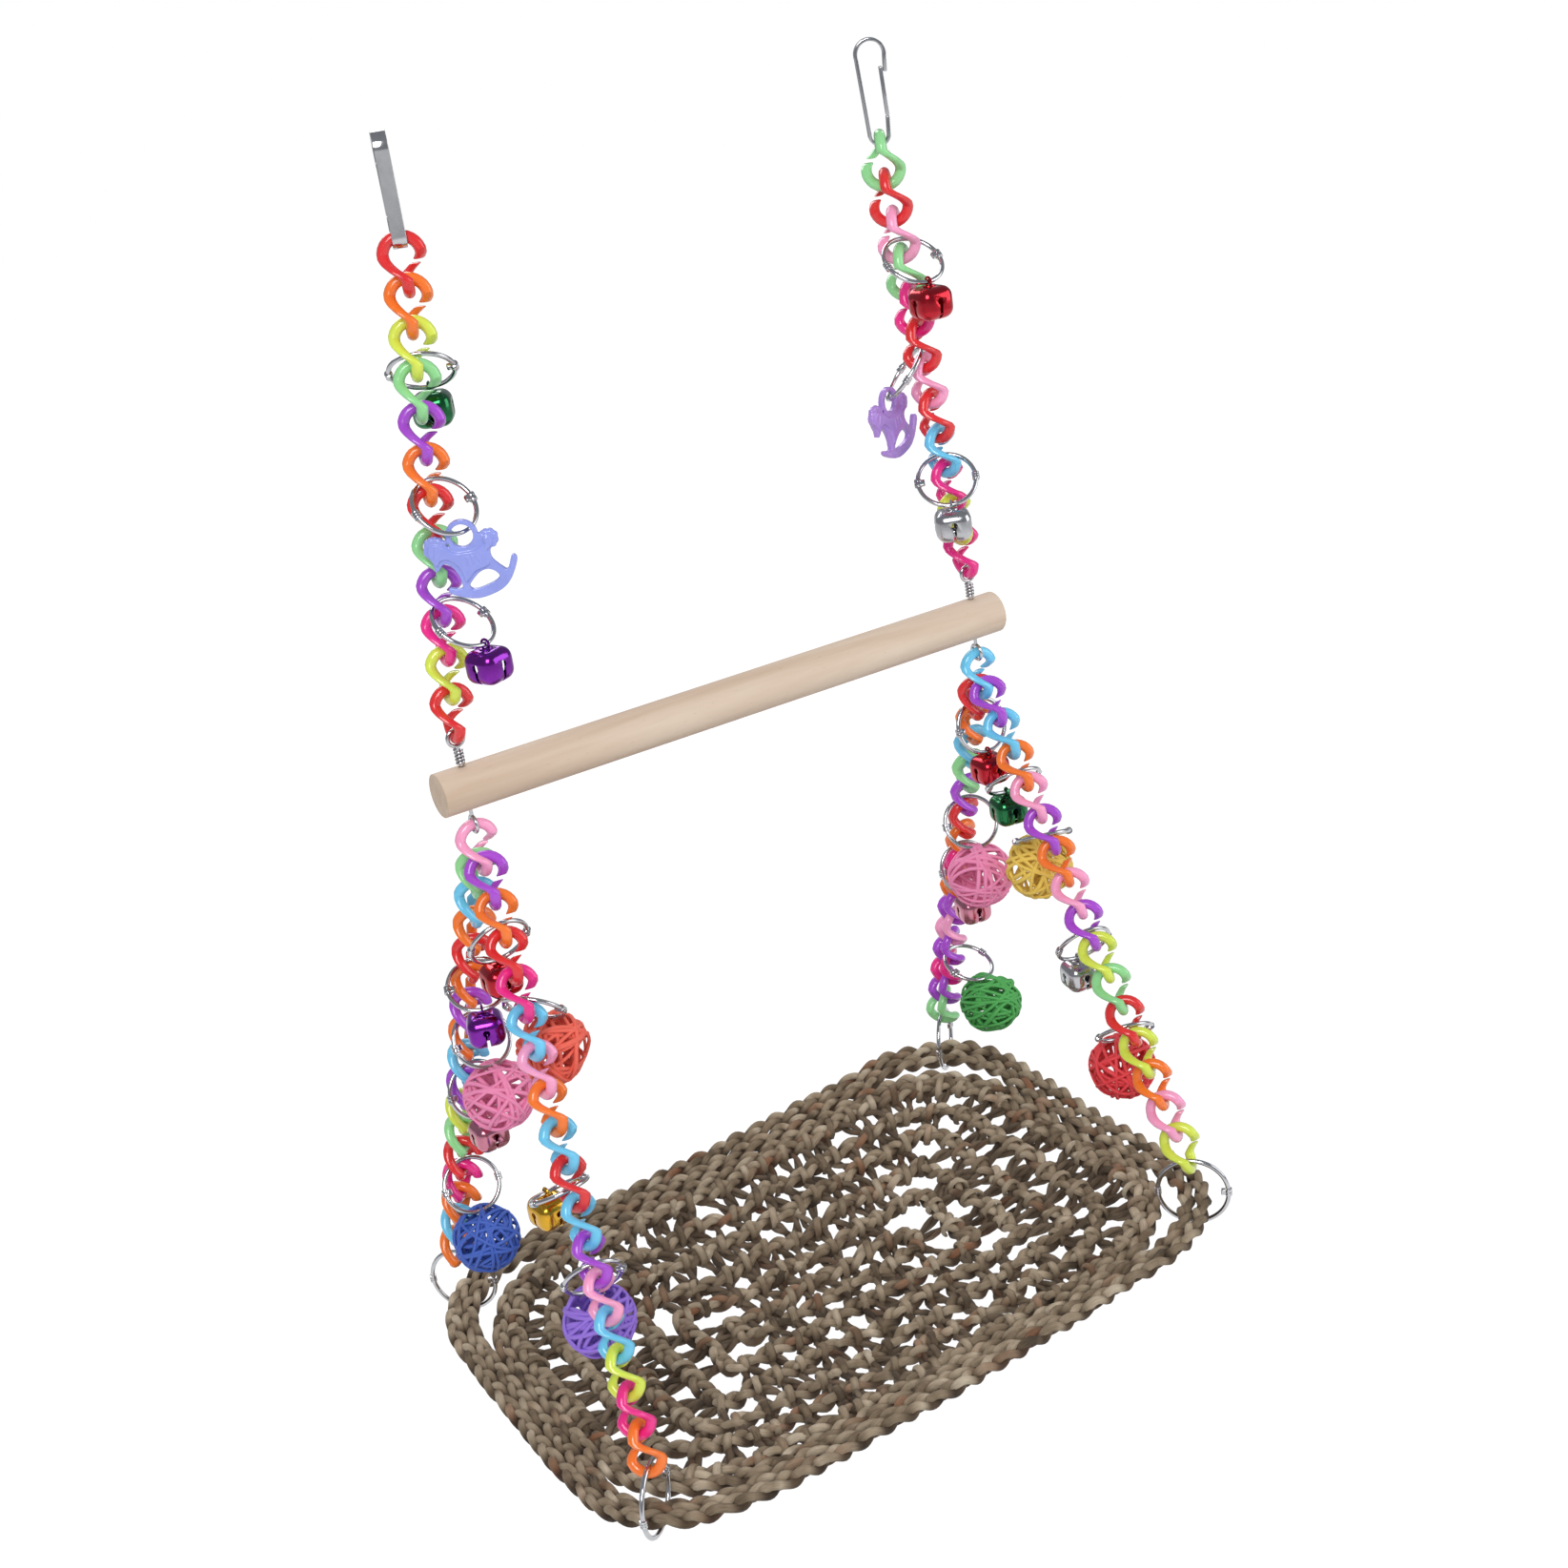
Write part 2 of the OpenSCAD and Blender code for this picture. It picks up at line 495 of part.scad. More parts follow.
// Ring in the XZ plane, hanging from its top point, with hinge and clasp barrels
module hanging_ring(r, wire, barrel) {
    translate([0, 0, -r]) {
        rotate([90, 0, 0]) torus(r, wire);
        for (s = [-1, 1]) translate([s * r, 0, -barrel_len / 2]) cylinder(d = barrel, h = barrel_len);
    }
}
module charm_ring(h) {
    color(chrome) translate(ring_top(h[0], h[1])) rotate([hang_lean(h), 0, h[2]])
        hanging_ring(ring_rr, ring_wire, barrel_d);
}
module corner_ring(sx, sy, z) {
    color(chrome) translate([sx * grip_x, sy * grip_y, z + corner_rr])
        rotate([0, 0, sx * sy * corner_turn]) hanging_ring(corner_rr, corner_wire, barrel_d);
}
module at_charm(h, turn = 0) {
    translate(hang_point(h)) rotate([0, 0, h[2] + turn]) children();
}

// Jingle bell: a squared dome with crossed slots, an eye on top and a loose pellet
module bell(colour) {
    wall_w = bell_w - 2 * bell_wall;
    wall_h = bell_h - 2 * bell_wall;
    slot_top = bell_h * 0.08;
    color(colour) {
        rotate([0, 90, 0]) torus(charm_eye_r, eye_wire);
        translate([0, 0, -bell_drop]) difference() {
            intersection() {
                sphere(bell_half);
                cube([bell_w, bell_w, bell_h], center = true);
            }
            intersection() {
                sphere(bell_half - bell_wall);
                cube([wall_w, wall_w, wall_h], center = true);
            }
            for (a = [0, 90]) rotate([0, 0, a]) {
                translate([-bell_w / 2 - cut, -bell_slot / 2, -bell_h / 2 - cut])
                    cube([bell_w + 2 * cut, bell_slot, bell_h / 2 + cut + slot_top]);
                for (s = [-1, 1]) translate([s * bell_w / 2, 0, slot_top])
                    rotate([0, 90, 0]) cylinder(r = bell_slot, h = bell_w / 2, center = true);
            }
        }
        translate([0, 0, -bell_drop - bell_h / 2 + bell_wall + play + pellet_d / 2]) sphere(d = pellet_d);
    }
}

// Wicker ball: strips wound one over another, each a layer deeper than the last
strip_play = 0.05;
strip_tilt_1 = 38;
strip_tilt_2 = 62;
ball_strips = [[90, 0], [strip_tilt_1, 20], [strip_tilt_2, 80], [strip_tilt_1, 140],
    [strip_tilt_2, 260], [strip_tilt_1, 260]];
layer = norm([ball_r, ball_strip_w / 2]) - ball_r + ball_strip_t + strip_play;
module ball(colour) {
    color(colour) translate([0, 0, -ball_drop]) for (k = [0:len(ball_strips) - 1])
        rotate([0, ball_strips[k][0], ball_strips[k][1]]) rotate_extrude()
            translate([ball_r - k * layer - ball_strip_t, -ball_strip_w / 2])
                square([ball_strip_t, ball_strip_w]);
}

// Rocking horse: thin outline with loop and rocker, and a fuller body
module horse(colour) {
    color(colour) translate([0, 0, -horse_drop]) rotate([90, 0, 90]) {
        translate([0, 0, -horse_edge_t / 2]) linear_extrude(horse_edge_t) difference() {
            union() {
                circle(horse_loop_share * horse_w);
                polygon(smooth(horse_w * horse_outline_shares, curve_steps));
            }
            circle(horse_hole_share * horse_w);
            polygon(smooth(horse_w * horse_gap_shares, curve_steps));
        }
        translate([0, 0, -horse_t / 2]) linear_extrude(horse_t)
            polygon(smooth(horse_w * horse_body_shares, curve_steps));
    }
}

module perch() {
    color([0.90, 0.80, 0.70]) difference() {
        translate([-perch_len / 2, 0, perch_z]) rotate([0, 90, 0]) cylinder(d = perch_d, h = perch_len);
        for (s = [-1, 1]) translate([s * perch_holes / 2, 0, perch_z - perch_d / 2 - cut])
            cylinder(d = perch_bore, h = perch_d + 2 * cut);
    }
}
// Wire through the perch: an eye above it in the XZ plane, an eye below it in the YZ plane
module perch_wires() {
    top = perch_eye_z - wire_eye_r;
    bottom = shared_z + wire_eye_r;
    color(chrome) for (s = [-1, 1]) translate([s * perch_holes / 2, 0, 0]) {
        translate([0, 0, perch_eye_z]) rotate([90, 0, 0]) torus(wire_eye_r, wire_d);
        translate([0, 0, shared_z]) rotate([0, 90, 0]) torus(wire_eye_r, wire_d);
        translate([0, 0, bottom]) cylinder(d = wire_d, h = top - bottom);
    }
}

module mat_place() {
    translate([0, 0, mat_z]) rotate([0, -mat_tilt, 0]) children();
}
module mat_border() {
    color([0.60, 0.52, 0.40]) mat_place() for (s = [outer_rr, middle_rr, inner_rr])
        polyhedron(cord_points(s), tube_faces(len(rr_path(s)), cord_sides, true));
}
module mat_net() {
    color([0.55, 0.47, 0.36]) mat_place() polyhedron(net_points, net_faces);
}

hook(-hook_spacing / 2, hook_yaw_left);  // hook_left
hook(hook_spacing / 2, hook_yaw_right);  // hook_right
gate(-hook_spacing / 2, hook_yaw_left);  // gate_left
gate(hook_spacing / 2, hook_yaw_right);  // gate_right
first_link(-hook_spacing / 2, hook_yaw_left - 90, left_colours[0]);  // first_link_left
first_link(hook_spacing / 2, hook_yaw_right + 90, right_colours[0]);  // first_link_right
translate([0, 0, -sway_slack]) chain_link(0, 0);  // second_link_left
translate([0, 0, -sway_slack]) chain_link(1, 0);  // second_link_right
links_of(0, 1, upper_links - 2, lime);  // left_lime_links
links_of(0, 1, upper_links - 2, mint);  // left_mint_links
links_of(0, 1, upper_links - 2, purple);  // left_purple_links
links_of(0, 1, upper_links - 2, orange);  // left_orange_link
links_of(0, 1, upper_links - 2, red);  // left_red_links
links_of(0, 1, upper_links - 2, magenta);  // left_magenta_link
links_of(1, 1, upper_links - 2, pink);  // right_pink_links
links_of(1, 1, upper_links - 2, mint);  // right_mint_link
links_of(1, 1, upper_links - 2, magenta);  // right_magenta_links
links_of(1, 1, upper_links - 2, red);  // right_red_links
links_of(1, 1, upper_links - 2, blue);  // right_blue_link
links_of(1, 1, upper_links - 2, lime);  // right_lime_link
leg_links(red);  // leg_red_links
leg_links(orange);  // leg_orange_links
leg_links(lime);  // leg_lime_links
leg_links(mint);  // leg_mint_links
union() {  // leg_blue_links
    leg_links(blue);
    shared_link(1, blue);
}
leg_links(purple);  // leg_purple_links
union() {  // leg_pink_links
    leg_links(pink);
    shared_link(-1, pink);
}
leg_links(magenta);  // leg_magenta_links
perch();
perch_wires();
for (h = left_hangs) charm_ring(h);  // left_rings
for (h = right_hangs) charm_ring(h);  // right_rings
for (h = leg_hangs) charm_ring(h);  // leg_rings
for (s = [-1, 1]) {  // corner_rings
    corner_ring(-1, s, left_ring_z);
    corner_ring(1, s, right_ring_z);
}
at_charm(left_green_hang) bell([0.05, 0.35, 0.15]);  // left_bell_green
at_charm(left_horse_hang, horse_turn) horse([0.59, 0.63, 0.92]);  // left_horse
at_charm(left_purple_hang) bell([0.45, 0.10, 0.60]);  // left_bell_purple
at_charm(right_red_hang) bell([0.80, 0.08, 0.12]);  // right_bell_red
at_charm(right_horse_hang, horse_turn) horse([0.69, 0.51, 0.84]);  // right_horse
at_charm(right_silver_hang) bell(chrome);  // right_bell_silver
at_charm(front_left_hangs[0]) bell([0.80, 0.08, 0.12]);  // front_left_bell_red
at_charm(front_left_hangs[1]) ball([0.94, 0.27, 0.20]);  // front_left_ball_coral
at_charm(front_left_hangs[2]) bell([0.90, 0.65, 0.12]);  // front_left_bell_gold
at_charm(front_left_hangs[3]) ball([0.47, 0.29, 0.78]);  // front_left_ball_purple
at_charm(rear_left_hangs[0]) bell([0.45, 0.10, 0.60]);  // rear_left_bell_purple
at_charm(rear_left_hangs[1]) ball([0.98, 0.35, 0.67]);  // rear_left_ball_pink
at_charm(rear_left_hangs[2]) bell([0.90, 0.55, 0.65]);  // rear_left_bell_pink
at_charm(rear_left_hangs[3]) ball([0.10, 0.29, 0.69]);  // rear_left_ball_blue
at_charm(front_right_hangs[0]) bell([0.05, 0.35, 0.15]);  // front_right_bell_green
at_charm(front_right_hangs[1]) ball([0.98, 0.75, 0.20]);  // front_right_ball_yellow
at_charm(front_right_hangs[2]) bell(chrome);  // front_right_bell_silver
at_charm(front_right_hangs[3]) ball([0.86, 0.12, 0.18]);  // front_right_ball_red
at_charm(rear_right_hangs[0]) bell([0.80, 0.08, 0.12]);  // rear_right_bell_red
at_charm(rear_right_hangs[1]) ball([0.98, 0.35, 0.67]);  // rear_right_ball_pink
at_charm(rear_right_hangs[2]) bell([0.90, 0.55, 0.65]);  // rear_right_bell_pink
at_charm(rear_right_hangs[3]) ball([0.20, 0.61, 0.24]);  // rear_right_ball_green
mat_border();
mat_net();
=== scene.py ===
import json
import random
from math import acos, asin, atan2, copysign, cos, degrees, hypot, pi, radians, sin, sqrt

import bmesh
import bpy
from mathutils import Matrix, Vector, noise


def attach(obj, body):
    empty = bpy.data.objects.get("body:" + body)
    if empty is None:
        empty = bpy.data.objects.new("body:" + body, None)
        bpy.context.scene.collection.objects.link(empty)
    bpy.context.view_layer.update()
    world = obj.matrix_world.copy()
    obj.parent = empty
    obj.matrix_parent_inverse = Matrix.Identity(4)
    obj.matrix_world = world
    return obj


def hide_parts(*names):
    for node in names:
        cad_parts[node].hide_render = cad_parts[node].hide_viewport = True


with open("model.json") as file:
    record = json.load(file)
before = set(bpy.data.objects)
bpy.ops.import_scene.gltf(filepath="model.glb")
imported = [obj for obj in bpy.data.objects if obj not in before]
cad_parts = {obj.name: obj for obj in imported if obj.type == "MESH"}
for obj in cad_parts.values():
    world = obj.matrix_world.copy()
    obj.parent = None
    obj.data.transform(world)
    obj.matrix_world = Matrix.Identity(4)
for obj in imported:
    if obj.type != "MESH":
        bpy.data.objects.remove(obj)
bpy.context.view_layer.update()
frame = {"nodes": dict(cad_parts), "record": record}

bl_info = {
    "name": "Bird Swing",
    "version": (1, 0, 0),
    "blender": (4, 5, 0),
    "location": "View3D > Sidebar > Bird Swing",
    "description": "Dresses a hanging bird swing: chains, rings, charms, perch and woven grass mat",
    "category": "Object",
}

MM, NEAR = 0.001, 1e-6
UP = Vector((0, 0, 1))

# Chains, as in the part's source: millimetres and degrees
LINK_T, LINK_LEN, LINK_W, PLAY, LINK_SLIT = 4.2, 23.3, 17.4, 0.3, 1.4
LINK_R = (LINK_W - LINK_T) / 2
LINK_C = LINK_LEN - LINK_T
PITCH = LINK_LEN - 2 * LINK_T - PLAY
HOOK_X, HOLE_X, UPPER_LINKS = 98.0, 115.0, 12
FIRST_Z, SWING_SLACK, SWAY_SLACK = -29.0, 0.6, 0.2
SECOND_Z = FIRST_Z - PITCH + SWING_SLACK
HOOK_YAW = {"left": 72.0, "right": -28.0}
WIRE_D, WIRE_RISE, PERCH_D, PERCH_LEN, PERCH_BORE = 1.5, 9.0, 17.0, 252.0, 2.2
UPPER_RUN = (UPPER_LINKS - 2) * PITCH + LINK_C
EYE_Z = SECOND_Z - sqrt(UPPER_RUN ** 2 - (HOLE_X - HOOK_X) ** 2)
PERCH_Z = EYE_Z - LINK_T / 2 - WIRE_RISE - PERCH_D / 2
SHARED_Z = PERCH_Z - PERCH_D / 2 - 2 * PLAY - WIRE_D - LINK_T
FORK_IN = LINK_T / 2 + PLAY / 2
FORK_R = LINK_R - LINK_T - PLAY
FORK_Z = SHARED_Z - LINK_C + LINK_R - sqrt(max(FORK_R ** 2 - FORK_IN ** 2, 0))

# Mat: half length, half width and corner radius of each border cord
CORD_D, CORNER_R, CORNER_SLACK, NET_STRAND = 6.8, 50.0, 8.0, 6.0
EDGE_SAG, MID_SAG = 7.0, 16.0
OUTER = (152.0 - CORD_D / 2, 113.0 - CORD_D / 2, CORNER_R)
MIDDLE = (OUTER[0] - CORD_D, OUTER[1] - CORD_D, CORNER_R - CORD_D)
SLACK_R = CORNER_SLACK * sqrt(0.5) / (1 - sqrt(0.5))
INNER = (MIDDLE[0] - CORD_D, MIDDLE[1] - CORD_D, MIDDLE[2] - CORD_D + SLACK_R)
EDGE_OFF = CORD_D / 2 + NET_STRAND / 2
NET = (INNER[0] - EDGE_OFF, INNER[1] - EDGE_OFF, INNER[2] - EDGE_OFF)

RING_D, RING_WIRE, BARREL_LEN, BARREL_D = 25.0, 1.8, 3.2, 3.0
CORNER_RING_D, CORNER_WIRE, CORD_SLANT = 31.6, 2.0, 0.7
RING_R = (RING_D - RING_WIRE) / 2
CORNER_RING_R = (CORNER_RING_D - CORNER_WIRE) / 2
GRIP = [s - CORNER_R + (CORNER_R - CORD_D / 2) * sqrt(0.5) for s in OUTER[:2]]
GRIP_IN = CORNER_RING_R - CORNER_WIRE / 2 - CORD_D / 2 - PLAY - CORD_SLANT
GRIP_DROP = sqrt(GRIP_IN ** 2 - CORD_D ** 2 / 4)
RING_LIFT = LINK_T / 2 + CORNER_WIRE / 2 + 2 * PLAY
LEG_SPAN = hypot(GRIP[0] - HOLE_X, GRIP[1] - FORK_IN)
LEG_LINKS = {"left": 16, "right": 15}
LEG_END = {s: FORK_Z - sqrt(((n - 1) * PITCH + LINK_C) ** 2 - LEG_SPAN ** 2)
           for s, n in LEG_LINKS.items()}
CORNER_RING_Z = {s: z + RING_LIFT - CORNER_RING_R for s, z in LEG_END.items()}
MAT_TILT = asin((CORNER_RING_Z["right"] - CORNER_RING_Z["left"]) / (2 * GRIP[0]))

BELL_W, BELL_H, BELL_WALL, BELL_SLOT, PELLET_D, EYE_WIRE = 14.5, 12.5, 0.6, 1.3, 4.0, 1.0
CHARM_EYE_R = RING_WIRE / 2 + PLAY + EYE_WIRE / 2
BELL_HALF, BELL_DROP = BELL_W * 0.6, CHARM_EYE_R + BELL_H / 2
BALL_R, BALL_STRIP = 15.0, 0.5
BALL_DROP = BALL_R - BALL_STRIP - PLAY - RING_WIRE / 2
HORSE_W, HORSE_T, HORSE_TURN = 32.0, 4.0, -128.0
HORSE_DROP = HORSE_W * 0.03
HORSE_HALF = ((LINK_W / 2 + PLAY + HORSE_T / 2 + 1) / abs(sin(radians(HORSE_TURN)))
              - LINK_W / 2 - PLAY)

# Colours of the links of each chain from the top down, one letter each
COLOUR_OF = dict(zip("roltbpkm", "red orange lime mint blue purple pink magenta".split()))
LINK_COLOURS = ["roltportpmlr", "trktmrkrbmlm",
                "pormbkobrbpkblmo", "tboropobpltrmobo",
                "pbokpokpltrlokl", "robtpromopkpmpt"]
FORK_TURN, CORNER_TURN = -10.0, 45.0


def sag(x, y):
    u, v = (x / OUTER[0]) ** 2, (y / OUTER[1]) ** 2
    return -EDGE_SAG * (1 - u * v) - MID_SAG * (1 - u) * (1 - v)


MAT_Z = sum(CORNER_RING_Z.values()) / 2 - GRIP_DROP - sag(*GRIP)
MAT_FRAME = Matrix.Translation((0, 0, MAT_Z)) @ Matrix.Rotation(-MAT_TILT, 4, "Y")
MAT_UP = MAT_FRAME.to_3x3() @ UP


def spin(angle, axis):
    return Matrix.Rotation(radians(angle), 4, axis)


def at(x, y, z):
    return Matrix.Translation((x, y, z))


class Run:
    """One straight run of links, from its first top wire to its last bottom wire."""

    def __init__(self, start, end, turns, colours, skip=0):
        self.start, self.end, self.turns = Vector(start), Vector(end), turns
        self.colours, self.skip = colours, skip
        self.dir = (self.end - self.start).normalized()
        self.az = degrees(atan2(self.dir.y, self.dir.x))
        self.tilt = degrees(acos(-self.dir.z))
        self.count = len(colours) - skip

    def top(self, i):
        return self.start + self.dir * PITCH * i

    def turn(self, i):
        return self.turns[0] + (self.turns[1] - self.turns[0]) * i / (self.count - 1)

    def place(self, i):
        return (Matrix.Translation(self.top(i)) @ spin(self.az, "Z") @ spin(-self.tilt, "Y")
                @ spin(self.turn(i) - self.az, "Z"))

    def colour(self, i):
        return COLOUR_OF[self.colours[i + self.skip]]


RUNS = [Run((x * HOOK_X, 0, SECOND_Z), (x * HOLE_X, 0, EYE_Z), (turn, 0), LINK_COLOURS[k], 1)
        for k, (x, turn) in enumerate(((-1, -16), (1, 57)))]
RUNS += [Run((x * HOLE_X, y * FORK_IN, FORK_Z), (x * GRIP[0], y * GRIP[1], LEG_END[side]),
             (FORK_TURN, x * y * CORNER_TURN), LINK_COLOURS[k])
         for k, (x, y, side) in enumerate(
             ((-1, -1, "left"), (-1, 1, "left"), (1, -1, "right"), (1, 1, "right")), 2)]
RING_SWINGS = [0, 0, 0, -8, -3, 0]


RUN_NAMES = ["left", "right", "front_left", "rear_left", "front_right", "rear_right"]
# What a charm must clear beside its link, and how far its middle hangs below its ring
CHARM_SIZES = {"bell": (BELL_HALF, BELL_DROP), "ball": (BALL_R, BALL_DROP), "horse": (HORSE_HALF, HORSE_DROP)}


class Hang:
    """A charm on its ring: the link it hangs in, the ring's facing and lean, and its low point."""

    def __init__(self, kind, run, link, facing=None, side=1, extra=0, way=None, tip=None):
        chain = RUNS[run]
        half, drop = CHARM_SIZES[kind.split("_")[0]]
        self.name, self.run = RUN_NAMES[run] + "_" + kind, run
        self.facing = chain.az + 90 + RING_SWINGS[run] + extra if facing is None else facing
        slope = 0 if chain.skip else sin(radians(chain.tilt))
        need = LINK_W / 2 + half + PLAY
        lean = asin(min((need - drop * slope) / (2 * RING_R), 0.98)) - asin(slope)
        if way is not None:
            self.facing, lean = way - 90, radians(tip)
        self.lean = side * degrees(lean)
        self.top = chain.top(link + 1) - chain.dir * (LINK_T / 2 + PLAY + RING_WIRE / 2)
        a, f = radians(self.lean), radians(self.facing)
        self.point = self.top + 2 * RING_R * Vector(
            (-sin(a) * sin(f), sin(a) * cos(f), -cos(a)))

    def ring_place(self):
        return Matrix.Translation(self.top) @ spin(self.facing, "Z") @ spin(self.lean, "X")

    def place(self, turn=0):
        return Matrix.Translation(self.point) @ spin(self.facing + turn, "Z")


BELLS = [
    Hang("bell_green", 0, 1, facing=-28), Hang("bell_purple", 0, 7, facing=24, side=-1),
    Hang("bell_red", 1, 1, facing=0, side=-1), Hang("bell_silver", 1, 7, way=240, tip=44),
    Hang("bell_red", 2, 1, way=90, tip=32), Hang("bell_gold", 2, 8, way=100, tip=64),
    Hang("bell_purple", 3, 3, way=250, tip=56), Hang("bell_pink", 3, 7),
    Hang("bell_green", 4, 2, way=80, tip=48), Hang("bell_silver", 4, 7, way=80, tip=36),
    Hang("bell_red", 5, 0, way=270, tip=14), Hang("bell_pink", 5, 6)]
BALLS = [
    Hang("ball_coral", 2, 3, way=40, tip=44), Hang("ball_purple", 2, 10), Hang("ball_pink", 3, 5),
    Hang("ball_blue", 3, 11, extra=-10), Hang("ball_yellow", 4, 4, way=70, tip=64),
    Hang("ball_red", 4, 10, way=70, tip=48), Hang("ball_pink", 5, 4, extra=-8),
    Hang("ball_green", 5, 11, way=290, tip=64)]
HORSES = [Hang("horse", 0, 4, facing=10, side=-1), Hang("horse", 1, 4, facing=62)]


# ---- Modelling helpers ----


def select(*objects):
    bpy.ops.object.select_all(action="DESELECT")
    for obj in objects:
        obj.select_set(True)
    bpy.context.view_layer.objects.active = objects[0]


def show(obj):
    bpy.context.scene.collection.objects.link(obj)
    return obj


def twin_of(obj):
    twin = obj.copy()
    twin.data = obj.data.copy()
    return show(twin)


def added(name):
    obj = bpy.context.view_layer.objects.active
    obj.name = name
    obj.data.name = name
    return obj


def settle(obj):
    select(obj)
    bpy.ops.object.transform_apply(location=True, rotation=True, scale=True)


def edit(obj, mode="VERT"):
    """Open a mesh with everything selected."""
    select(obj)
    bpy.ops.object.mode_set(mode="EDIT")
    bpy.ops.mesh.select_mode(type=mode)
    bpy.ops.mesh.select_all(action="SELECT")


def pick_faces(obj, test):
    mesh = bmesh.from_edit_mesh(obj.data)
    chosen = [face for face in mesh.faces if test(face.calc_center_median())]
    for face in chosen:
        face.select_set(True)
    bmesh.update_edit_mesh(obj.data)
    if not chosen:
        raise RuntimeError("nothing picked on " + obj.name)


def done():
    bpy.ops.object.mode_set(mode="OBJECT")


def finish(obj, kind, **settings):
    select(obj)
    modifier = obj.modifiers.new(kind.title(), kind)
    for key, value in settings.items():
        setattr(modifier, key, value)
    bpy.ops.object.modifier_apply(modifier=modifier.name)


def round_edges(obj, offset, segments, **how):
    edit(obj, "EDGE")
    bpy.ops.mesh.bevel(offset=offset * MM, segments=segments, affect="EDGES", **how)
    done()


def soften(obj, width, segments, angle):
    finish(obj, "BEVEL", width=width * MM, segments=segments, limit_method="ANGLE",
           angle_limit=radians(angle))


def cylinder(name, radius, depth, place, vertices=24, turn=(0, 0, 0)):
    bpy.ops.mesh.primitive_cylinder_add(vertices=vertices, radius=radius * MM, depth=depth * MM,
                                        location=[v * MM for v in place], rotation=turn)
    made = added(name)
    settle(made)
    return made


def block(name, size, place):
    bpy.ops.mesh.primitive_cube_add(size=1, location=[v * MM for v in place])
    made = added(name)
    made.scale = [v * MM for v in size]
    settle(made)
    return made


def smooth(obj, angle=40):
    select(obj)
    bpy.ops.object.shade_smooth_by_angle(angle=radians(angle))


def join(objects, name):
    select(*objects)
    if len(objects) > 1:
        bpy.ops.object.join()
    return added(name)


def copies(master, places, name):
    made = []
    for place in places:
        twin = twin_of(master)
        twin.matrix_world = place
        made.append(twin)
    obj = join(made, name)
    settle(obj)
    return obj


def discard(obj):
    bpy.data.objects.remove(obj, do_unlink=True)


def cut(obj, cutter):
    finish(obj, "BOOLEAN", operation="DIFFERENCE", object=cutter, solver="EXACT")
    discard(cutter)


def metres(place):
    """A placement in millimetres, for a piece that is modelled in metres."""
    scaled = place.copy()
    scaled.translation = scaled.translation * MM
    return scaled


def slot_of(node):
    return next(part["material_slot"] for part in frame["record"]["subparts"] if part["node"] == node)


def dress(obj, material, body, *nodes, slot=None):
    obj.data.materials.clear()
    obj.data.materials.append(material)
    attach(obj, body)
    if nodes:
        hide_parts(*nodes)
        slot = slot_of(nodes[0])


def node_copy(node, name):
    twin = twin_of(frame["nodes"][node])
    twin.name = name
    twin.data.name = name
    twin.hide_render = False
    twin.parent = None
    twin.matrix_world = Matrix.Identity(4)
    for key in list(twin.keys()):
        del twin[key]
    edit(twin)
    bpy.ops.mesh.remove_doubles(threshold=0.00001)
    done()
    return twin


# ---- Shader helpers ----


class Value:
    """A number socket that adds its own maths nodes."""

    def __init__(self, shader, socket):
        self.shader, self.socket = shader, socket

    def _math(self, operation, first, second):
        return self.shader.node("ShaderNodeMath", {"operation": operation}, {0: first, 1: second})

    def sibling(self, name):
        return Value(self.shader, self.socket.node.outputs[name])

    def __add__(self, other):
        return self._math("ADD", self, other)

    def __radd__(self, other):
        return self._math("ADD", other, self)

    def __sub__(self, other):
        return self._math("SUBTRACT", self, other)

    def __mul__(self, other):
        return self._math("MULTIPLY", self, other)


class Shader:
    """A material or world under construction."""

    def __init__(self, name, library=None):
        self.owner = (bpy.data.materials if library is None else library).new(name)
        self.owner.use_nodes = True
        self.tree = self.owner.node_tree
        self.tree.nodes.clear()
        self.coordinates = None

    def node(self, kind, settings=None, inputs=None, output=0):
        made = self.tree.nodes.new(kind)
        for key, value in (settings or {}).items():
            if key == "stops":
                while len(made.color_ramp.elements) < len(value):
                    made.color_ramp.elements.new(0.5)
                for element, (place, colour) in zip(made.color_ramp.elements, value):
                    element.position = place
                    element.color = (*colour, 1)
            else:
                setattr(made, key, value)
        for key, value in (inputs or {}).items():
            if isinstance(value, Value):
                self.tree.links.new(value.socket, made.inputs[key])
            else:
                made.inputs[key].default_value = value
        return Value(self, made.outputs[output]) if made.outputs else made

    def place(self):
        if self.coordinates is None:
            self.coordinates = self.node("ShaderNodeTexCoord", output="Object")
        return self.coordinates

    def noise(self, scale, detail=3.0, roughness=0.55, stretch=None, where=None, distortion=0.0):
        where = where or self.place()
        if stretch:
            where = self.node("ShaderNodeMapping", None, {"Vector": where, "Scale": stretch})
        return self.node("ShaderNodeTexNoise", None, {
            "Vector": where, "Scale": scale, "Detail": detail, "Roughness": roughness,
            "Distortion": distortion}, output="Fac")

    def ramp(self, factor, *stops):
        return self.node("ShaderNodeValToRGB", {"stops": stops}, {"Fac": factor}, output="Color")

    def mix(self, factor, first, second, blend="MIX"):
        first, second = [c if isinstance(c, Value) else (*c, 1) for c in (first, second)]
        return self.node("ShaderNodeMix", {"data_type": "RGBA", "blend_type": blend},
                         {0: factor, 6: first, 7: second}, output=2)

    def bump(self, height, strength, distance):
        return self.node("ShaderNodeBump", None, {
            "Height": height, "Strength": strength, "Distance": distance})

    def surface(self, **inputs):
        named = {key.replace("_", " ").title(): value for key, value in inputs.items()}
        body = self.node("ShaderNodeBsdfPrincipled", None, named)
        self.node("ShaderNodeOutputMaterial", None, {"Surface": body})
        return self.owner


